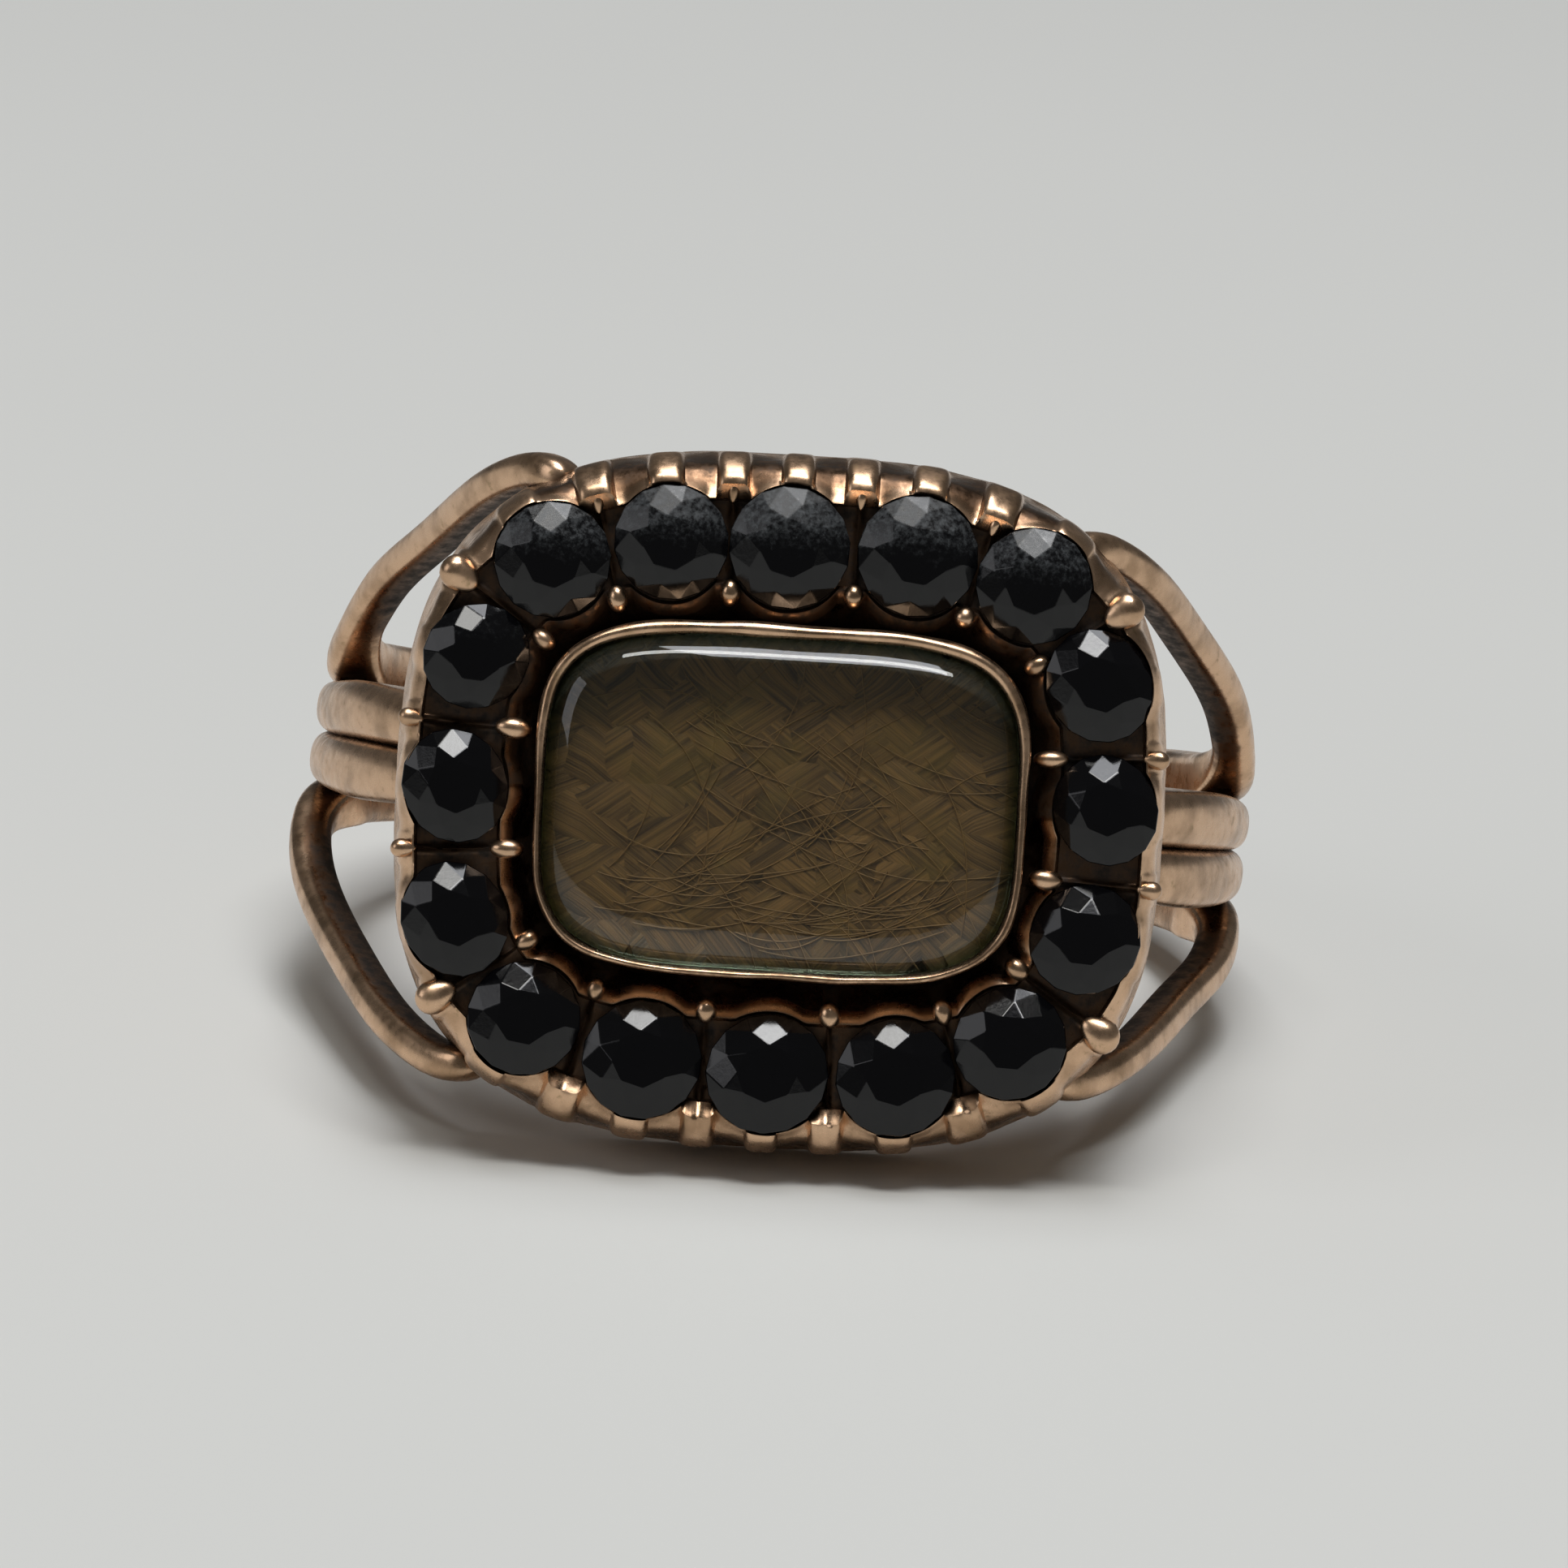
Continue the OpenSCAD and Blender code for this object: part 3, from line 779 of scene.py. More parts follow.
    def outer_strand(self, side: int) -> bpy.types.Object:
        """Sweep one outer strand from the right corner round the hoop's back to the left one."""
        left = self.corners[0] if side > 0 else self.corners[2]
        right = self.corners[1] if side > 0 else self.corners[3]
        start = math.degrees(math.atan2(self.wire[1][0], self.wire[1][2]))
        stations: list[tuple[Vector, float, float]] = []
        for i in range(self.wire_rings, -1, -1):
            t = i / self.wire_rings
            stations.append((self.wire_at(right, t), t, start))
        for i in range(1, self.back_rings):
            a = mix(start, 360 - start, i / self.back_rings)
            f = 360 - a if a > 180 else a
            p = self.strand_at(side, f)
            p.x = -p.x if a > 180 else p.x
            stations.append((self.turned(p, -self.skew), 0.0, f))
        for i in range(self.wire_rings + 1):
            t = i / self.wire_rings
            stations.append((self.wire_at(left, t), t, start))
        rings = []
        last = len(stations) - 1
        for i, (p, t, a) in enumerate(stations):
            along = (stations[min(i + 1, last)][0] - stations[max(i - 1, 0)][0]).normalized()
            radial = Vector((p.x, 0, p.z)).normalized()
            out = (radial - along * radial.dot(along)).normalized()
            across = along.cross(out)
            free = smooth(t * 4)
            tip = math.sqrt(max(1 - max(t - 0.9, 0) ** 2 / 0.1**2 * 0.93, 0.02))
            width = mix(self.strand_w(a), self.wire_w, free) * tip
            outer = mix(self.outer_r(a) - self.strand_mid_r, self.wire_depth * 0.5 + self.wire_shift, free) * tip
            inner = mix(self.strand_mid_r - self.finger_r, self.wire_depth * 0.5 - self.wire_shift, free) * tip
            section = self.wire_section(width, inner, outer, 1 - free)
            rings.append([p + across * x + out * y for x, y in section])
        return Bench.sweep("upper_strand" if side > 0 else "lower_strand", rings)

    def soil_and_shade(self, strand: bpy.types.Object) -> None:
        """Store the grime and painted shade on the shoulders' flanks that face the openings."""
        values = []
        flank_x, flank_y = self.flank
        for vertex in strand.data.vertices:
            n, p = vertex.normal, vertex.co
            inwards = -flank_x * n.x * math.copysign(1, p.x) - flank_y * n.y * math.copysign(1, p.y)
            free = smooth((vertex.co.z + 0.5) / 2.5)
            # painted shade with grime on the flanks that face the openings
            values.append(self.flank_dirt_and_shade * free * smooth((inwards - 0.2) / 0.4))
        Bench.store(strand, DIRT_AND_PAINTED_LIGHT, values)

    def build(self) -> list[bpy.types.Object]:
        """Model the hoop's three pieces."""
        pieces = [self.middle_pair(), self.outer_strand(1), self.outer_strand(-1)]
        for strand in pieces[1:]:
            self.soil_and_shade(strand)
        for seed, piece in enumerate(pieces):
            Bench.wear(piece, self.worn_by, self.worn_grain, 3.1 * seed)
            Bench.soften(piece, 60)
        return pieces


@dataclass(frozen=True)
class Setting:
    """How one stone was cut and set.

    x and y shift it from its even place, in millimetres; turn and the tilts are in degrees. worn is how scuffed
    it is and how much grey sheen is painted on its upper side, and along and across stretch its round outline
    along the row and across it.
    """

    x: float
    y: float
    radius: float
    turn: float
    tilt_x: float
    tilt_y: float
    worn: float
    along: float
    across: float


SETTINGS = (
    Setting(-0.10, -0.15, 1.15, 8, 2, 0, 0.90, 1.03, 1.06),
    Setting(-0.05, -0.10, 1.15, 15, 1, 2, 0.80, 1.03, 1.05),
    Setting(-0.10, 0.12, 1.10, 3, 3, -1, 0.70, 1.05, 1.04),
    Setting(-0.08, 0.22, 1.04, 12, -2, 2, 0.10, 1.12, 0.99),
    Setting(0.00, 0.25, 1.02, 5, -3, -2, 0.10, 1.12, 0.97),
    Setting(-0.08, 0.15, 1.02, 18, -4, -1, 0.10, 1.15, 1.00),
    Setting(-0.05, 0.00, 1.10, 20, -4, -2, 0.00, 1.03, 1.00),
    Setting(0.10, -0.12, 1.15, 9, -3, 1, 0.00, 1.04, 1.00),
    Setting(0.05, -0.12, 1.16, 0, -4, 0, 0.00, 1.06, 1.00),
    Setting(0.05, -0.05, 1.17, 6, -4, 1, 0.00, 1.03, 0.98),
    Setting(0.05, -0.05, 1.10, 14, -5, 2, 0.00, 1.02, 1.02),
    Setting(-0.04, -0.15, 1.02, 10, -3, 2, 0.00, 1.16, 1.00),
    Setting(0.00, 0.00, 1.02, 4, 0, 1, 0.15, 1.15, 0.98),
    Setting(0.10, 0.10, 0.98, 17, 1, 4, 0.30, 1.17, 0.96),
    Setting(0.10, 0.10, 1.10, 7, 2, 1, 0.70, 1.05, 1.04),
    Setting(0.05, -0.10, 1.06, 11, 3, 0, 0.80, 1.06, 1.08),
)


def oval(i: int, inverse: bool = False) -> Matrix:
    """Return the stretch that gives a stone its oval outline, or the one that takes it back to round."""
    s = SETTINGS[i % STONES]
    out = PATH.out(2 * i)
    turn = Matrix.Rotation(math.atan2(out.y, out.x), 4, "Z")
    shape = (s.across, s.along, 1, 1) if not inverse else (1 / s.across, 1 / s.along, 1, 1)
    return turn @ Matrix.Diagonal(shape) @ turn.inverted()


def stone_matrix(i: int) -> Matrix:
    """Return the place of a stone's girdle: its middle and its tilt."""
    s = SETTINGS[i]
    p = PATH.at(2 * i) + Vector((s.x, s.y, GIRDLE_Z))
    return Matrix.Translation(p) @ Euler((math.radians(s.tilt_x), math.radians(s.tilt_y), 0)).to_matrix().to_4x4()


@dataclass(frozen=True)
class Column:
    """One upright strip of the head's wall, with its distances out from the stones' path in millimetres."""

    half: float
    foot: Vector
    out: Vector
    flange: float
    edge: float
    inner_edge: float
    collet: float
    rib: float
    meeting: float
    side: float

    def point(self, distance: float, z: float) -> Vector:
        """Return the point at a distance outwards and a height."""
        return self.foot + self.out * distance + Vector((0, 0, z))


@dataclass
class Head:
    """The gold head: a fluted wall, claws, beads and the collet."""

    flange_outline: Cushion = field(default_factory=lambda: Cushion(15.26, 13.78, 2.9))
    rib_half_w: float = 0.31
    rib_length: float = 0.72
    notch: float = 0.07
    notch_half_w: float = 0.13
    panel_depth: float = 0.2
    shelf_z: float = 11.1
    trough_z: float = 10.3
    seat_gap: float = 0.015
    collet_w: float = 0.17
    bead_r: float = 0.22
    worn_by: float = 0.018
    worn_grain: float = 0.7
    # length, width and height of the claws
    corner_claw: tuple[float, float, float] = (0.86, 0.78, 0.34)
    side_claw: tuple[float, float, float] = (0.52, 0.42, 0.22)
    top_claw: tuple[float, float, float] = (0.42, 0.27, 0.16)
    # place of each column between two ribs' middles, as a share of the step
    columns: tuple[float, ...] = (
        0.0, 0.04, 0.08, 0.12, 0.16, 0.19, 0.215, 0.24, 0.27, 0.31, 0.36, 0.43,
        0.5, 0.57, 0.64, 0.69, 0.73, 0.76, 0.785, 0.81, 0.84, 0.88, 0.92, 0.96,
    )
    # share of the way in, height: along a rib, and along the panel beside it
    rib_line: tuple[tuple[float, float], ...] = (
        (0.00, 9.55), (0.00, 10.00), (0.01, 10.45), (0.04, 10.72), (0.12, 10.91), (0.26, 11.09),
        (0.42, 11.25), (0.60, 11.39), (0.78, 11.48), (0.92, 11.49), (1.00, 11.43),
    )
    panel_line: tuple[tuple[float, float], ...] = (
        (-0.36, 9.52), (-0.22, 9.95), (-0.08, 10.35), (0.02, 10.64), (0.10, 10.84), (0.21, 11.00),
        (0.38, 11.12), (0.58, 11.21), (0.80, 11.29), (0.93, 11.38), (1.00, 11.40),
    )

    def stone_edge(self, foot: Vector, out: Vector, half: float, sign: int) -> float:
        """Return how far a line runs from the path before it leaves the stones, or 0 if it meets none.

        Args:
            foot: The line's start on the path.
            out: The direction away from the head's middle.
            half: The place on the path.
            sign: 1 for outwards, -1 for inwards.
        """
        far = 0.0
        for i in (math.floor(half / 2), math.floor(half / 2) + 1):
            s = SETTINGS[i % STONES]
            to_round = oval(i, inverse=True).to_3x3()
            start = to_round @ (foot - PATH.at(2 * i) - Vector((s.x, s.y, 0)))
            way = to_round @ (out * sign)
            reach = s.radius + self.seat_gap
            under = start.dot(way) ** 2 - way.dot(way) * (start.dot(start) - reach * reach)
            if under > 0:
                far = max(far, (math.sqrt(under) - start.dot(way)) / way.dot(way))
        return far

    def column(self, half: float) -> Column:
        """Measure one upright strip of the wall at a place on the path."""
        foot, out = PATH.at(half), PATH.out(half)
        flange = PATH.reach(half, self.flange_outline)
        step = PATH.lengths[-1] / HALVES
        x = abs(half - round(half)) * step / self.rib_half_w
        side = 1 - min(max((flange - 1.32) / 0.3, 0.0), 1.0)
        edge = max(self.stone_edge(foot, out, half, 1), flange - mix(0.95, 0.5, side))
        inner_edge = max(self.stone_edge(foot, out, half, -1), 0.86)
        collet = PATH.reach(half, GLASS_OUTLINE.grown(self.collet_w), -1)
        meeting = abs((half % 2) - 1) * step
        rib = (1 - x**5) ** 0.45 if x < 1 else 0.0
        return Column(half, foot, out, flange, edge, inner_edge, collet, rib, meeting, side)

    def profile(self, c: Column) -> list[tuple[Vector, float]]:
        """Return one strip of the wall from the back plate to the collet, with its share of grime and painted light.
        """
        wide = c.flange - c.edge
        depth = self.panel_depth * min(1.0, wide / 0.6)
        pad = min(wide, mix(self.rib_length, wide, c.side))
        line = [(c.flange - 0.6, BACK_Z, 0.3), (c.flange - 0.1, BACK_Z, 0.3), (c.flange - 0.02, BACK_Z + 0.03, 0.0)]
        line += [(c.flange, BACK_Z + 0.1, 0.0), (c.flange, BACK_Z + 0.4, 0.0), (c.flange - 0.02, BACK_Z + 0.5, 0.1)]
        lower = c.foot.y < 0
        for (along, z), (panel_along, panel_z) in zip(self.rib_line, self.panel_line):
            rib_out = c.flange - pad * along
            rib = c.rib * (1 - 0.7 * c.side)
            panel_out = min(c.flange - depth - (wide - depth) * panel_along, c.flange - 0.01)
            if lower and c.side < 0.5 and along > 0.5 and c.meeting < 0.3:
                z -= self.notch * smooth(1 - c.meeting / self.notch_half_w)
            z -= 0.1 * c.side * smooth(along * 2)
            panel_z = mix(panel_z, panel_z + 0.06, c.side)
            # painted shade in the panels between the ribs, less on the lower half
            start, end = smooth((panel_along + 0.4) / 0.3), smooth((panel_along - 0.75) / 0.2)
            dirt_and_shade = 0.68 * (1 - c.rib) * start * (1 - end)
            dirt_and_shade *= (1 - 0.7 * c.side) * (0.45 if lower and panel_along > 0.15 else 1.0)
            line.append((mix(panel_out, rib_out, rib), mix(panel_z, z, rib), dirt_and_shade))
        # grime and painted shade on the shelf between the stones, less on the ridge where neighbours meet
        ridge = smooth(1 - c.meeting / 0.07)
        shelf = self.shelf_z + 0.2 * ridge
        dark = mix(0.8, 0.45, ridge)
        line += [(c.edge - 0.005, mix(11.36, 11.26, c.rib), 0.1), (c.edge - 0.02, 11.22, 0.6)]
        line += [(c.edge - 0.05, shelf, dark), (c.edge * 0.4, shelf, dark), (-c.inner_edge * 0.5, shelf, dark)]
        line += [(-c.inner_edge + 0.02, self.shelf_z, 0.8)]
        lip = min(c.inner_edge + 0.02, c.collet - 0.16)
        # painted light on the inner lip: a painted highlight on the lower stones' lips, painted shade on the upper
        # stones'
        shade = -0.55 if lower else 0.75
        line += [(-lip, 11.18, 0.6), (-lip - 0.03, 11.24, shade), (-lip - 0.06, 11.23, shade)]
        line += [(-min(lip + 0.26, c.collet - 0.06), 11.06, shade)]
        # grime and painted shade in the trough round the collet's foot
        line += [(-min(lip + 0.3, c.collet - 0.04), 10.85, 0.7), (-c.collet + 0.02, self.trough_z, 0.75)]
        line += [(-c.collet - 0.02, self.trough_z, 0.8), (-c.collet - 0.02, 9.6, 1.0)]
        return [(c.point(distance, z), dirt_and_shade) for distance, z, dirt_and_shade in line]

    def wall(self) -> bpy.types.Object:
        """Sweep the wall from the back plate up its flutes, past the stones and in to the collet's foot."""
        strips = [self.profile(self.column(k + share)) for k in range(HALVES) for share in self.columns]
        rings = [[strip[level][0] for strip in strips] for level in range(len(strips[0]))]
        wall = Bench.sweep("head_wall", rings)
        Bench.tag(wall, DIRT_AND_PAINTED_LIGHT, (pair for strip in strips for pair in strip))
        return wall

    def collet(self) -> bpy.types.Object:
        """Sweep the thin rim round the glass, a little uneven as it was rubbed over the edge."""
        # distance outwards from the glass, height
        section = (
            (0.02, 10.0), (0.27, 10.0), (0.26, 11.3), (0.25, 11.7), (0.235, 11.84), (0.19, 11.91),
            (0.12, 11.935), (0.05, 11.92), (0.0, 11.87), (-0.03, 11.82), (0.02, 11.78),
        )
        count = 160
        outline = GLASS_OUTLINE.even(count)
        rings = []
        for i, p in enumerate(outline):
            along = (outline[(i + 1) % count] - outline[i - 1]).normalized()
            out = Vector((-along.y, along.x, 0))
            wobble = noise.noise(p * 0.9) * 0.03
            heavy = 0.6 + 0.34 * smooth((p.y + 1) / 4) + 0.2 * noise.noise(p * 0.7 + Vector((5, 0, 0)))
            ring = []
            for x, z in section:
                rise = wobble if z > 11 else 0
                ring.append(p + out * (0.02 + (x - 0.02) * heavy) + Vector((0, 0, z + rise)))
            rings.append(ring)
        collet = Bench.sweep("glass_collet", rings, closed=True)
        # painted shade on the rim, darker towards the bottom
        Bench.tag(collet, DIRT_AND_PAINTED_LIGHT, ((p, 0.42 * (1 - smooth((p.y + 0.5) / 3))) for ring in rings for p in ring))
        return collet

    def drop(self, length: float, width: float, height: float) -> bpy.types.Object:
        """Model one claw along X: a round outer end that thins towards its tip.

        Args:
            length: From the outer end to the tip.
            width: At its widest.
            height: Above its foot.
        """
        Bench.clear()
        bpy.ops.mesh.primitive_uv_sphere_add(segments=20, ring_count=12, radius=0.5)
        claw = bpy.context.object
        for vertex in claw.data.vertices:
            x = vertex.co.x
            thin = mix(1.0, 0.72, smooth(0.5 - x)) if x < 0.5 else 1.0
            vertex.co.y *= thin * width
            vertex.co.z *= mix(0.55, 1.0, smooth(x + 0.5)) * height * 2
            vertex.co.x = x * length
        return claw

    def claws(self) -> bpy.types.Object:
        """Set a claw over each pair of neighbouring girdles, larger at the head's corners."""
        corners = (5, 11, 21, 27)
        made = []
        rng = random.Random(7)
        for half in range(1, HALVES, 2):
            c = self.column(half)
            if half in corners:
                claw, out, z = self.drop(*self.corner_claw), c.flange - 0.42, 11.38
            elif c.side > 0.5:
                claw, out, z = self.drop(*self.side_claw), c.flange - 0.3, 11.33
            elif c.foot.y > 0:
                claw, out, z = self.drop(*self.top_claw), c.flange - self.rib_length - 0.12, 11.3
            else:
                continue
            turn = math.atan2(c.out.y, c.out.x) + rng.uniform(-0.12, 0.12)
            matrix = Matrix.Translation(c.point(out, z)) @ Matrix.Rotation(turn, 4, "Z")
            Bench.place(claw, matrix @ Matrix.Rotation(math.radians(6), 4, "Y"))
            made.append(claw)
        return Bench.join("claws", made)

    def beads(self) -> bpy.types.Object:
        """Raise a bead between neighbours on the inner side of the row."""
        Bench.clear()
        bpy.ops.mesh.primitive_uv_sphere_add(segments=20, ring_count=12, radius=self.bead_r)
        bead = bpy.context.object
        for vertex in bead.data.vertices:
            if vertex.co.z < 0:
                vertex.co.z *= 3.5
        rng = random.Random(3)
        places = []
        for half in range(1, HALVES, 2):
            p, d = PATH.at(half), PATH.out(half)
            turn = Matrix.Rotation(math.atan2(d.y, d.x), 4, "Z")
            long = 1.6 if abs(p.x) > 6 else 1.15
            at = p - d * (1.06 + rng.uniform(-0.06, 0.06)) + Vector((0, 0, 11.3 + rng.uniform(-0.05, 0.05)))
            size = Matrix.Diagonal((long * rng.uniform(0.9, 1.1), rng.uniform(0.8, 1.0), 1, 1))
            places.append(Matrix.Translation(at) @ turn @ size)
        return Bench.copies(bead, places, "seat_beads")

    def build(self) -> list[bpy.types.Object]:
        """Model the head's gold pieces."""
        pieces = [self.wall(), self.collet(), self.claws(), self.beads()]
        angles = (45, 60, 60, 60)
        for seed, (piece, angle) in enumerate(zip(pieces, angles)):
            Bench.wear(piece, self.worn_by, self.worn_grain, 11.0 + seed)
            Bench.soften(piece, angle)
        return pieces


class TarnishAndShade:
    """Darken where a polishing cloth can't reach, as grime and oxide with painted shade: each point's share of
    hidden sky.
    """

    def __init__(self, pieces: Sequence[bpy.types.Object], reach: float = 1.3, rays: int = 36) -> None:
        """Collect the surfaces that hide one another.

        Args:
            pieces: The pieces, in worn millimetres.
            reach: How far away a surface still shades another.
            rays: The number of directions that are tried from each point.
        """
        vertices: list[Vector] = []
        polygons: list[tuple[int, ...]] = []
        for piece in pieces:
            base = len(vertices)
            vertices += [v.co.copy() for v in piece.data.vertices]
            polygons += [tuple(base + k for k in p.vertices) for p in piece.data.polygons]
        self.tree = BVHTree.FromPolygons(vertices, polygons)
        self.reach = reach
        golden = math.pi * (3 - math.sqrt(5))
        self.directions = []
        for i in range(rays):
            z = 1 - (i + 0.5) / rays
            r = math.sqrt(1 - z * z)
            self.directions.append(Vector((r * math.cos(golden * i), r * math.sin(golden * i), z)))

    def evened(self, piece: bpy.types.Object, values: Sequence[float]) -> list[float]:
        """Return each point's value averaged with its neighbours'."""
        total, count = list(values), [1] * len(values)
        for edge in piece.data.edges:
            a, b = edge.vertices
            total[a] += values[b]
            total[b] += values[a]
            count[a] += 1
            count[b] += 1
        return [t / c for t, c in zip(total, count)]

    def mark(self, piece: bpy.types.Object) -> None:
        """Store each point's share of hidden sky on the piece."""
        values = []
        for vertex in piece.data.vertices:
            turn = vertex.normal.to_track_quat("Z", "Y")
            start = vertex.co + vertex.normal * 0.02
            hidden = 0.0
            for direction in self.directions:
                hit = self.tree.ray_cast(start, turn @ direction, self.reach)
                if hit[0] is not None:
                    hidden += direction.z * (1 - 0.5 * hit[3] / self.reach)
            values.append(hidden / sum(d.z for d in self.directions))
        dirt_and_shade = piece.data.attributes.get(DIRT_AND_PAINTED_LIGHT)
        if dirt_and_shade:
            old = [item.value for item in dirt_and_shade.data]
            # a value below zero lightens the point, a painted highlight; the rest darken it with grime and painted
            # shade
            values = [max(v, d) if d > -0.01 else max(v + d, 0.0) for v, d in zip(values, old)]
        for _ in range(3):
            values = self.evened(piece, values)
        Bench.store(piece, RECESS_SHADE_DIRT, values)


@dataclass
class StoneCut:
    """The cut of the black stones: a table, eight star, eight kite and sixteen girdle facets over a point."""

    crown: float = 0.35
    pavilion: float = 0.95
    table: float = 0.48
    girdle: float = 0.08

    def stone(self, i: int) -> bpy.types.Object:
        """Cut one stone from a cone: the crown's rings are inset and raised, its edges softened.

        Args:
            i: The stone's number, from the top middle one.
        """
        s = SETTINGS[i]
        r = s.radius
        table_r = r * self.table
        star_r = r * (1 + self.table) / 2 * 0.99
        slope = self.crown / (r - table_r)
        star_z = self.crown - slope * (star_r * math.cos(math.radians(22.5)) - table_r)
        Bench.clear()
        bpy.ops.mesh.primitive_cone_add(vertices=16, radius1=r, radius2=0, depth=self.pavilion, end_fill_type="NGON")
        stone = bpy.context.object
        stone.name = stone.data.name = f"black_stone_{i + 1:02d}"
        for vertex in stone.data.vertices:
            vertex.co.z = -self.girdle if vertex.co.z < 0 else -self.pavilion
        bpy.ops.object.mode_set(mode="EDIT")
        mesh = bmesh.from_edit_mesh(stone.data)
        base = next(f for f in mesh.faces if len(f.verts) == 16)
        bpy.ops.mesh.select_all(action="DESELECT")
        base.select_set(True)
        bmesh.update_edit_mesh(stone.data)
        bpy.ops.mesh.extrude_region_move(TRANSFORM_OT_translate={"value": (0, 0, self.girdle)})
        mesh = bmesh.from_edit_mesh(stone.data)
        crown = next(f for f in mesh.faces if f.select and len(f.verts) == 16)
        rim = sorted(crown.verts, key=lambda v: math.atan2(v.co.y, v.co.x))
        bmesh.ops.delete(mesh, geom=[crown], context="FACES_ONLY")
        first = math.atan2(rim[0].co.y, rim[0].co.x)
        stars, table = [], []
        for k in range(8):
            a = first + math.radians(45 * k)
            table.append(mesh.verts.new((table_r * math.cos(a), table_r * math.sin(a), self.crown)))
            b = a + math.radians(22.5)
            stars.append(mesh.verts.new((star_r * math.cos(b), star_r * math.sin(b), star_z)))
        mesh.faces.new(table)
        for k in range(8):
            after = (k + 1) % 8
            mesh.faces.new((table[k], stars[k], table[after]))
            mesh.faces.new((table[k], stars[k - 1], rim[2 * k], stars[k]))
            mesh.faces.new((stars[k], rim[2 * k], rim[2 * k + 1]))
            mesh.faces.new((stars[k], rim[2 * k + 1], rim[(2 * k + 2) % 16]))
        bpy.ops.mesh.select_all(action="SELECT")
        bmesh.update_edit_mesh(stone.data)
        bpy.ops.mesh.normals_make_consistent(inside=False)
        bpy.ops.object.mode_set(mode="OBJECT")
        Bench.modify(stone, "BEVEL", width=0.018, segments=2, limit_method="ANGLE", angle_limit=math.radians(6))
        Bench.place(stone, stone_matrix(i) @ oval(i) @ Matrix.Rotation(math.radians(s.turn + 22.5), 4, "Z"))
        self.mark_wear_and_sheen(stone, i)
        return stone

    def mark_wear_and_sheen(self, stone: bpy.types.Object, i: int) -> None:
        """Store how scuffed each point is, with its painted grey sheen: the upper part of each stone, most on the
        top row.
        """
        middle = stone_matrix(i).translation
        s = SETTINGS[i]
        values = []
        for vertex in stone.data.vertices:
            up = (vertex.co.y - middle.y) / s.radius
            # painted grey sheen and scuffing, more towards the upper side
            values.append(s.worn * smooth((up + 0.35) / 0.9))
        Bench.store(stone, WEAR_AND_SHEEN, values)

    def build(self) -> list[bpy.types.Object]:
        """Cut all the stones."""
        return [self.stone(i) for i in range(STONES)]


@dataclass
class Glazing:
    """The low-domed glass over the compartment: a round shoulder all along its edge and a nearly flat top."""

    foot_z: float = 11.2
    edge_z: float = 11.56
    shoulder_r: float = 1.0
    shoulder_angle: float = 60.0
    crown: float = 0.06
    points: int = 144
    shoulder_rings: int = 16
    crown_rings: int = 9

    def build(self) -> bpy.types.Object:
        """Model the glass from its foot over the shoulder to the middle of its top."""
        outline = GLASS_OUTLINE.grown(-0.02)
        edge = outline.even(self.points)
        rings = [[p * 0.9 + Vector((0, 0, self.foot_z)) for p in edge]]
        rings.append([p + Vector((0, 0, self.foot_z)) for p in edge])
        steep = math.radians(self.shoulder_angle)
        for k in range(self.shoulder_rings + 1):
            a = steep * (1 - k / self.shoulder_rings)
            inset = self.shoulder_r * (math.sin(steep) - math.sin(a))
            z = self.edge_z + self.shoulder_r * (math.cos(a) - math.cos(steep))
            rings.append([p + Vector((0, 0, z)) for p in outline.grown(-inset).even(self.points)])
        top = rings[-1]
        for k in range(1, self.crown_rings + 1):
            share = 1 - k / (self.crown_rings + 0.4)
            rise = self.crown * (1 - share * share)
            rings.append([Vector((p.x * share, p.y * share, p.z + rise)) for p in top])
        glass = Bench.sweep("domed_glass", rings)
        Bench.soften(glass, 50)
        Bench.store(glass, EDGE, [GLASS_OUTLINE.inside(v.co) for v in glass.data.vertices])
        return glass


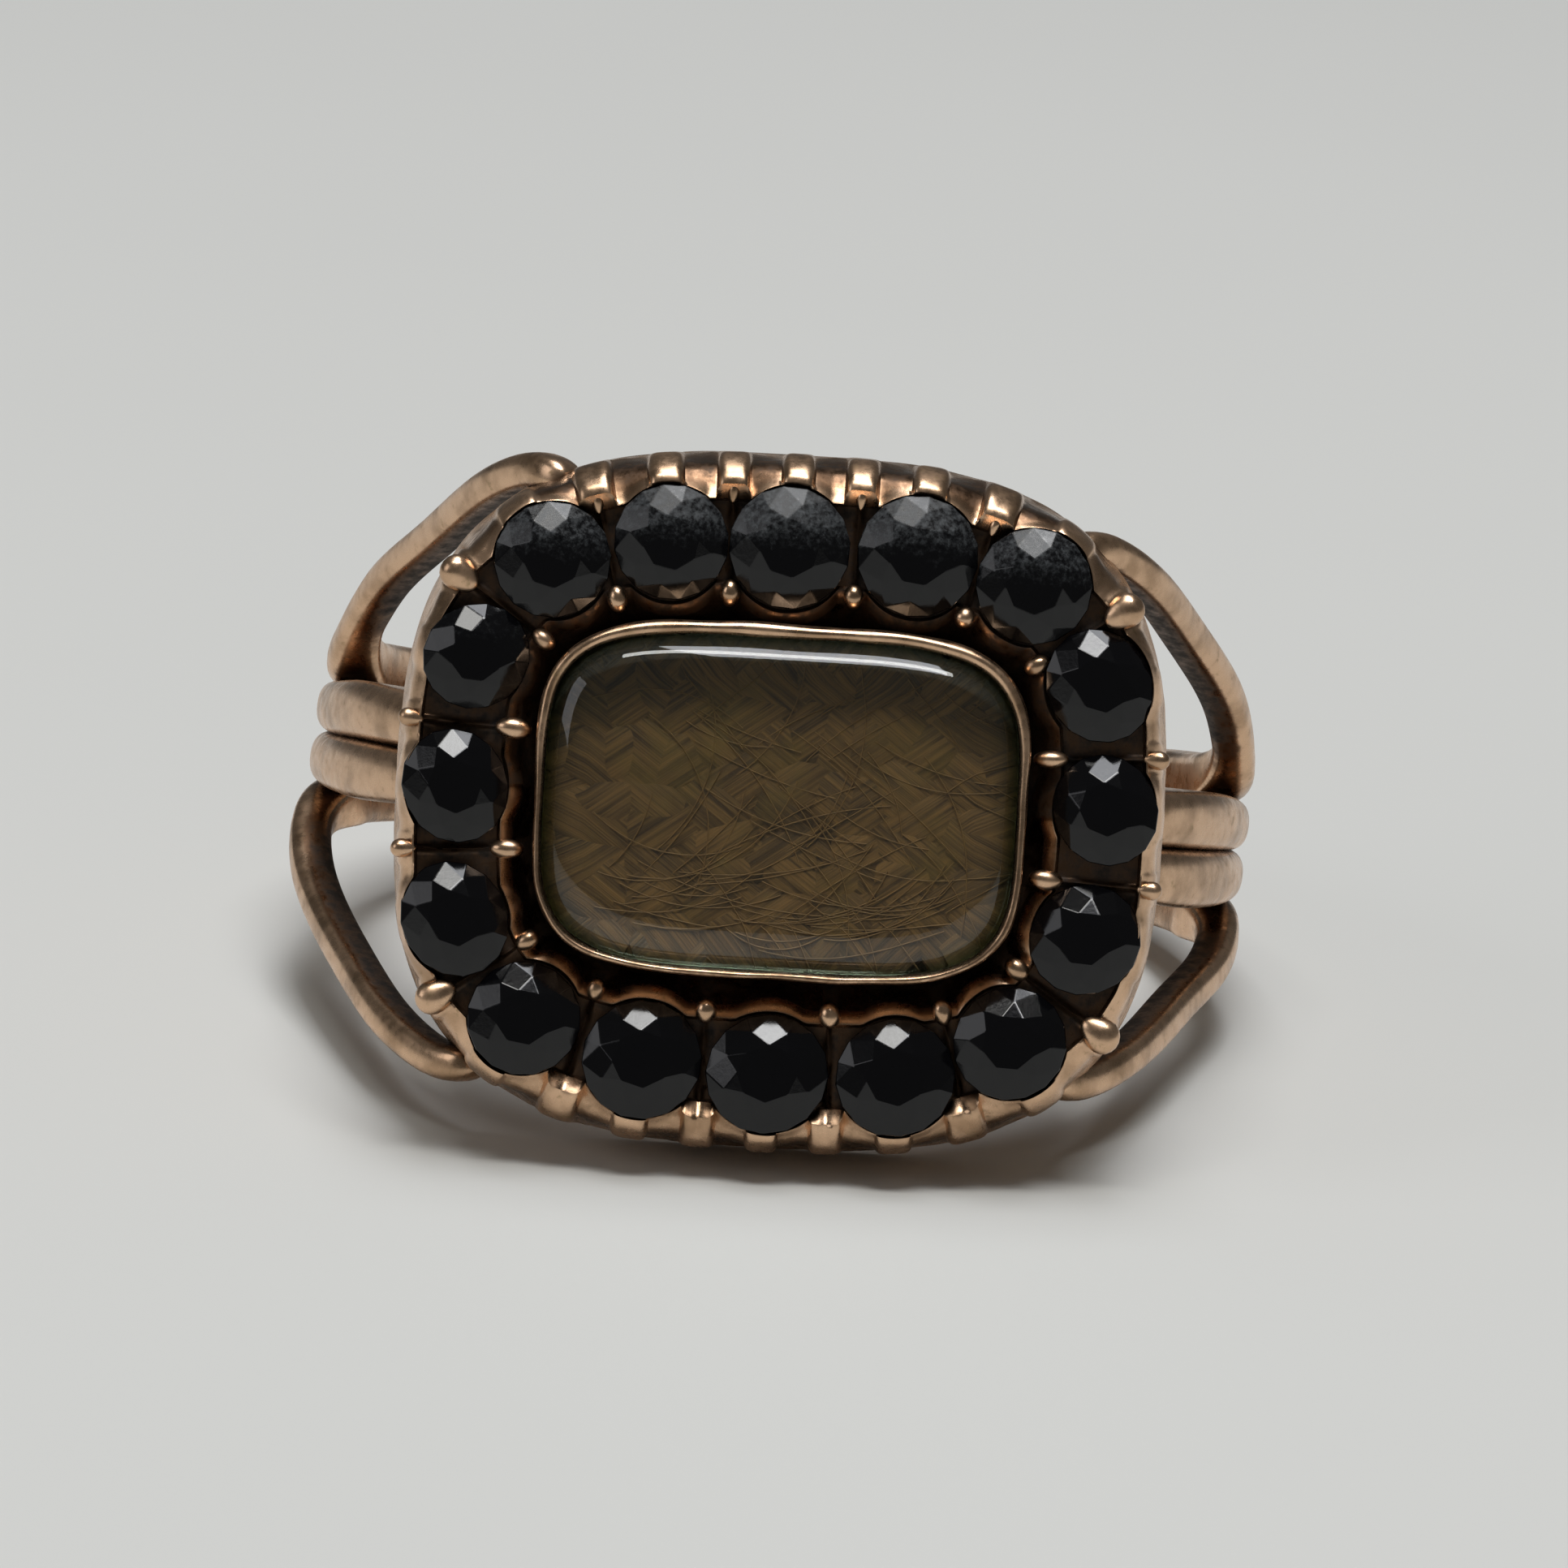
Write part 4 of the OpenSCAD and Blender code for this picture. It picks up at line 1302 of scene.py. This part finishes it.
@dataclass
class HairWork:
    """The woven hair: flat locks that cross over and under at a slant, with loose hairs, on a brown card."""

    slant: float = 36.0
    lock_w: float = 0.86
    crown: float = 0.03
    wave: float = 0.02
    top_z: float = 10.94
    card_z: float = 10.72
    stray_r: float = 0.012
    strays: int = 90
    outline: Cushion = field(default_factory=lambda: GLASS_OUTLINE.grown(-0.09))

    def lock(
        self, direction: Vector, across: Vector, number: int, phase: float, rng: random.Random
    ) -> list[bpy.types.Object]:
        """Lay one flat lock of hair across the compartment.

        Args:
            direction: The way that the lock runs.
            across: The direction across it.
            number: Its place among its neighbours, from the middle one.
            phase: Where it passes over the locks that cross it.
            rng: The source of its small strays.

        Returns:
            The lock, or nothing where it misses the compartment.
        """
        drift, bend, tone = rng.uniform(-0.05, 0.05), rng.uniform(0, 6), rng.uniform(0.35, 0.65)
        wide = self.lock_w * rng.uniform(1.0, 1.3)
        rings, where, steps = [], [], 9
        along = -6.5
        while along < 6.5:
            along += 0.15
            ring = []
            for k in range(steps):
                share = k / (steps - 1) - 0.5
                side = number * self.lock_w + share * wide + drift * along + 0.1 * math.sin(0.9 * along + bend)
                p = direction * along + across * side
                far = self.outline.inside(p)
                if far > 1:
                    p /= far
                over = math.sin(math.pi * along / self.lock_w + phase)
                p.z = self.top_z + self.crown * (1 - 4 * share * share) + self.wave * over
                ring.append((p, (side / self.lock_w * 1.7, along, tone)))
            middle = ring[steps // 2][0]
            if self.outline.inside(middle) < 0.999 or (rings and len(rings) < 2):
                rings.append([p for p, _ in ring])
                where.append([w for _, w in ring])
        if len(rings) < 4:
            return []
        under = Vector((0, 0, 0.1))
        solid = [ring + [p - under for p in reversed(ring)] for ring in rings]
        lock = Bench.sweep("lock", solid)
        for k, name in enumerate((LAY, RUN, STRAND)):
            pairs = []
            for ring, values in zip(rings, where):
                pairs += [(p, w[k]) for p, w in zip(ring, values)]
                pairs += [(p - under, w[k]) for p, w in zip(ring, values)]
            Bench.tag(lock, name, pairs)
        return [lock]

    def weave(self) -> bpy.types.Object:
        """Lay both sets of locks, slanting either way, and join them."""
        rng = random.Random(21)
        locks: list[bpy.types.Object] = []
        for sign in (1, -1):
            a = math.radians(self.slant) * sign
            direction = Vector((math.cos(a), math.sin(a), 0))
            across = Vector((-direction.y, direction.x, 0))
            for number in range(-6, 7):
                phase = math.pi * (number % 2) + (0 if sign > 0 else math.pi / 2)
                locks += self.lock(direction, across, number, phase, rng)
        piece = Bench.join("woven_hair", locks)
        Bench.soften(piece, 80)
        return piece

    def loose_hairs(self) -> bpy.types.Object:
        """Lay loose hairs over the locks: most lie with them, some curl along the lower edge."""
        curve = bpy.data.curves.new("loose_hairs", "CURVE")
        curve.dimensions = "3D"
        curve.bevel_depth = self.stray_r
        curve.bevel_resolution = 0
        rng = random.Random(8)
        for k in range(self.strays):
            curl = k % 3 == 0
            heading = math.radians(self.slant) * rng.choice((1, -1)) + rng.uniform(-0.2, 0.2)
            p = Vector((rng.uniform(-4, 4), rng.uniform(-2.6, 2.6), 0))
            if curl:
                heading, p = rng.uniform(-0.5, 0.1), Vector((rng.uniform(-3.8, 1), rng.uniform(-2.8, -1.4), 0))
            turn = rng.uniform(-0.05, 0.05) if not curl else rng.uniform(0.01, 0.06)
            points = []
            for _ in range(rng.randrange(14, 34)):
                p = p + Vector((math.cos(heading), math.sin(heading), 0)) * 0.13
                heading += turn
                if self.outline.inside(p) > 0.985:
                    break
                points.append(Vector((p.x, p.y, self.top_z + self.crown + self.wave * 0.6 + rng.uniform(0, 0.01))))
            if len(points) < 6:
                continue
            spline = curve.splines.new("POLY")
            spline.points.add(len(points) - 1)
            for target, at in zip(spline.points, points):
                target.co = (*at, 1)
        piece = bpy.data.objects.new("loose_hairs", curve)
        bpy.context.scene.collection.objects.link(piece)
        Bench.pick(piece)
        bpy.ops.object.convert(target="MESH")
        piece = bpy.context.object
        Bench.store(piece, STRAND, [1.0] * len(piece.data.vertices))
        return piece

    def card(self) -> bpy.types.Object:
        """Model the card below the hair, with a soft edge."""
        outline = GLASS_OUTLINE.grown(-0.03).even(96)
        top = self.card_z
        levels = ((0.9, 9.66), (0.995, 9.68), (1.0, 9.74), (1.0, top - 0.08), (0.99, top - 0.02), (0.94, top))
        rings = [[p * share + Vector((0, 0, z)) for p in outline] for share, z in levels]
        card = Bench.sweep("hair_card", rings)
        Bench.soften(card, 50)
        return card


@dataclass
class Studio:
    """The plain pale surface, the soft light and the camera at the photograph's angle."""

    distance: float = 156.0
    head_z: float = 11.5
    pixels_per_mm: float = 63.0
    pitch: float = 1.4
    roll: float = -3.3
    centre: tuple[float, float] = (0.08, 0.40)
    surface: str = "#c9c9c5"
    surface_light: str = "#cfcfcb"
    cloud_mm: float = 60.0
    room: str = "#bcbcba"
    room_strength: float = 0.18

    def camera(self) -> None:
        """Set the camera opposite the head, at the distance that fits the picture's scale."""
        data = bpy.data.cameras.new("view")
        away = self.distance - self.head_z
        data.lens = self.pixels_per_mm * away / PHOTO_PIXELS * data.sensor_width
        data.clip_start = 0.001
        data.clip_end = 20
        camera = bpy.data.objects.new("view", data)
        bpy.context.scene.collection.objects.link(camera)
        worn = (
            Matrix.Rotation(math.radians(-self.roll), 4, "Z")
            @ Matrix.Translation((0, 0, self.head_z))
            @ Matrix.Rotation(math.radians(-self.pitch), 4, "X")
            @ Matrix.Translation((*self.centre, away))
        )
        place = REST.matrix() @ worn
        camera.matrix_world = Matrix.LocRotScale(place.to_translation(), place.to_quaternion(), Vector((1, 1, 1)))
        bpy.context.scene.camera = camera

    def floor(self) -> None:
        """Lay the pale surface, far larger than the view."""
        Bench.clear()
        bpy.ops.mesh.primitive_plane_add(size=3.0)
        floor = bpy.context.object
        floor.name = "pale_surface"
        material, tree, where = start_material("matt pale card")
        tone = add_node(tree, "TexNoise", {"Vector": where, "Scale": grain_scale(self.cloud_mm), "Detail": 2.0})
        pale = add_node(tree, "Mix", {0: tone, 6: self.surface, 7: self.surface_light}, 2, **RGBA)
        coat(tree, {"Base Color": pale, "Roughness": 0.85})
        floor.data.materials.append(material)

    def lamp(
        self, name: str, place: tuple[float, float, float], size: tuple[float, float], watts: float, colour: str
    ) -> None:
        """Hang a soft rectangular lamp that faces the ring.

        Args:
            name: The lamp's name.
            place: Where it hangs, in metres from the ring.
            size: Its width and height in metres.
            watts: Its power.
            colour: Its colour.
        """
        data = bpy.data.lights.new(name, "AREA")
        data.shape = "RECTANGLE"
        data.size, data.size_y = size
        data.energy = watts
        data.color = linear(colour)[:3]
        lamp = bpy.data.objects.new(name, data)
        bpy.context.scene.collection.objects.link(lamp)
        lamp.location = place
        lamp.rotation_euler = (Vector((0, 0, 0.006)) - Vector(place)).to_track_quat("-Z", "Y").to_euler()

    def lights(self) -> None:
        """Light the ring softly from above, with a darker room in front of it."""
        world = bpy.data.worlds.new("room")
        world.use_nodes = True
        tree = world.node_tree
        tree.nodes.clear()
        back = add_node(tree, "Background", {"Color": self.room, "Strength": self.room_strength})
        add_node(tree, "OutputWorld", {"Surface": back})
        bpy.context.scene.world = world
        self.lamp("overhead", (0.0, -0.12, 0.5), (0.34, 0.07), 0.85, "#fffefa")
        self.lamp("behind", (0.02, 0.005, 0.5), (0.42, 0.18), 1.8, "#f8faff")
        self.lamp("left_fill", (-0.5, -0.2, 0.25), (0.3, 0.3), 0.4, "#fbfbff")

    def build(self) -> None:
        """Set up the camera, the surface and the light."""
        self.camera()
        self.floor()
        self.lights()
        bpy.context.scene.view_settings.view_transform = "Standard"


def main() -> None:
    """Build the ring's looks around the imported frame."""
    logging.basicConfig(level=logging.INFO, format="%(name)s: %(message)s")
    noise.seed_set(NOISE_SEED)
    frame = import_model()
    log.info("frame holds %d nodes", len(frame["nodes"]))
    Studio().build()

    gold = RoseGold().material()
    metal = Hoop().build() + Head().build()
    stones = StoneCut().build()
    glass = Glazing().build()
    hair_work = HairWork()
    hair, loose, card = hair_work.weave(), hair_work.loose_hairs(), hair_work.card()

    # painted shade in the recesses, with grime, from each point's hidden sky
    tarnish_and_shade = TarnishAndShade(metal + stones + [glass])
    for piece in metal:
        tarnish_and_shade.mark(piece)
    for piece in metal + stones + [glass, hair, loose, card]:
        Bench.lay_down(piece)

    for piece in metal:
        finish_piece(piece, gold, Slot.GOLD, "ring_mount")
    jet = CutJet().material()
    for i, piece in enumerate(stones):
        finish_piece(piece, jet, Slot.STONE, f"stone_{i + 1:02d}")
    finish_piece(glass, OldGlass().material(), Slot.GLASS, "crystal")
    glass.visible_shadow = False
    brown = BrownHair().material()
    finish_piece(hair, brown, Slot.HAIR, "hair_panel")
    finish_piece(loose, brown, Slot.HAIR, "hair_panel")
    finish_piece(card, DarkCard().material(), Slot.HAIR, "hair_panel")


if __name__ == "__main__":
    main()
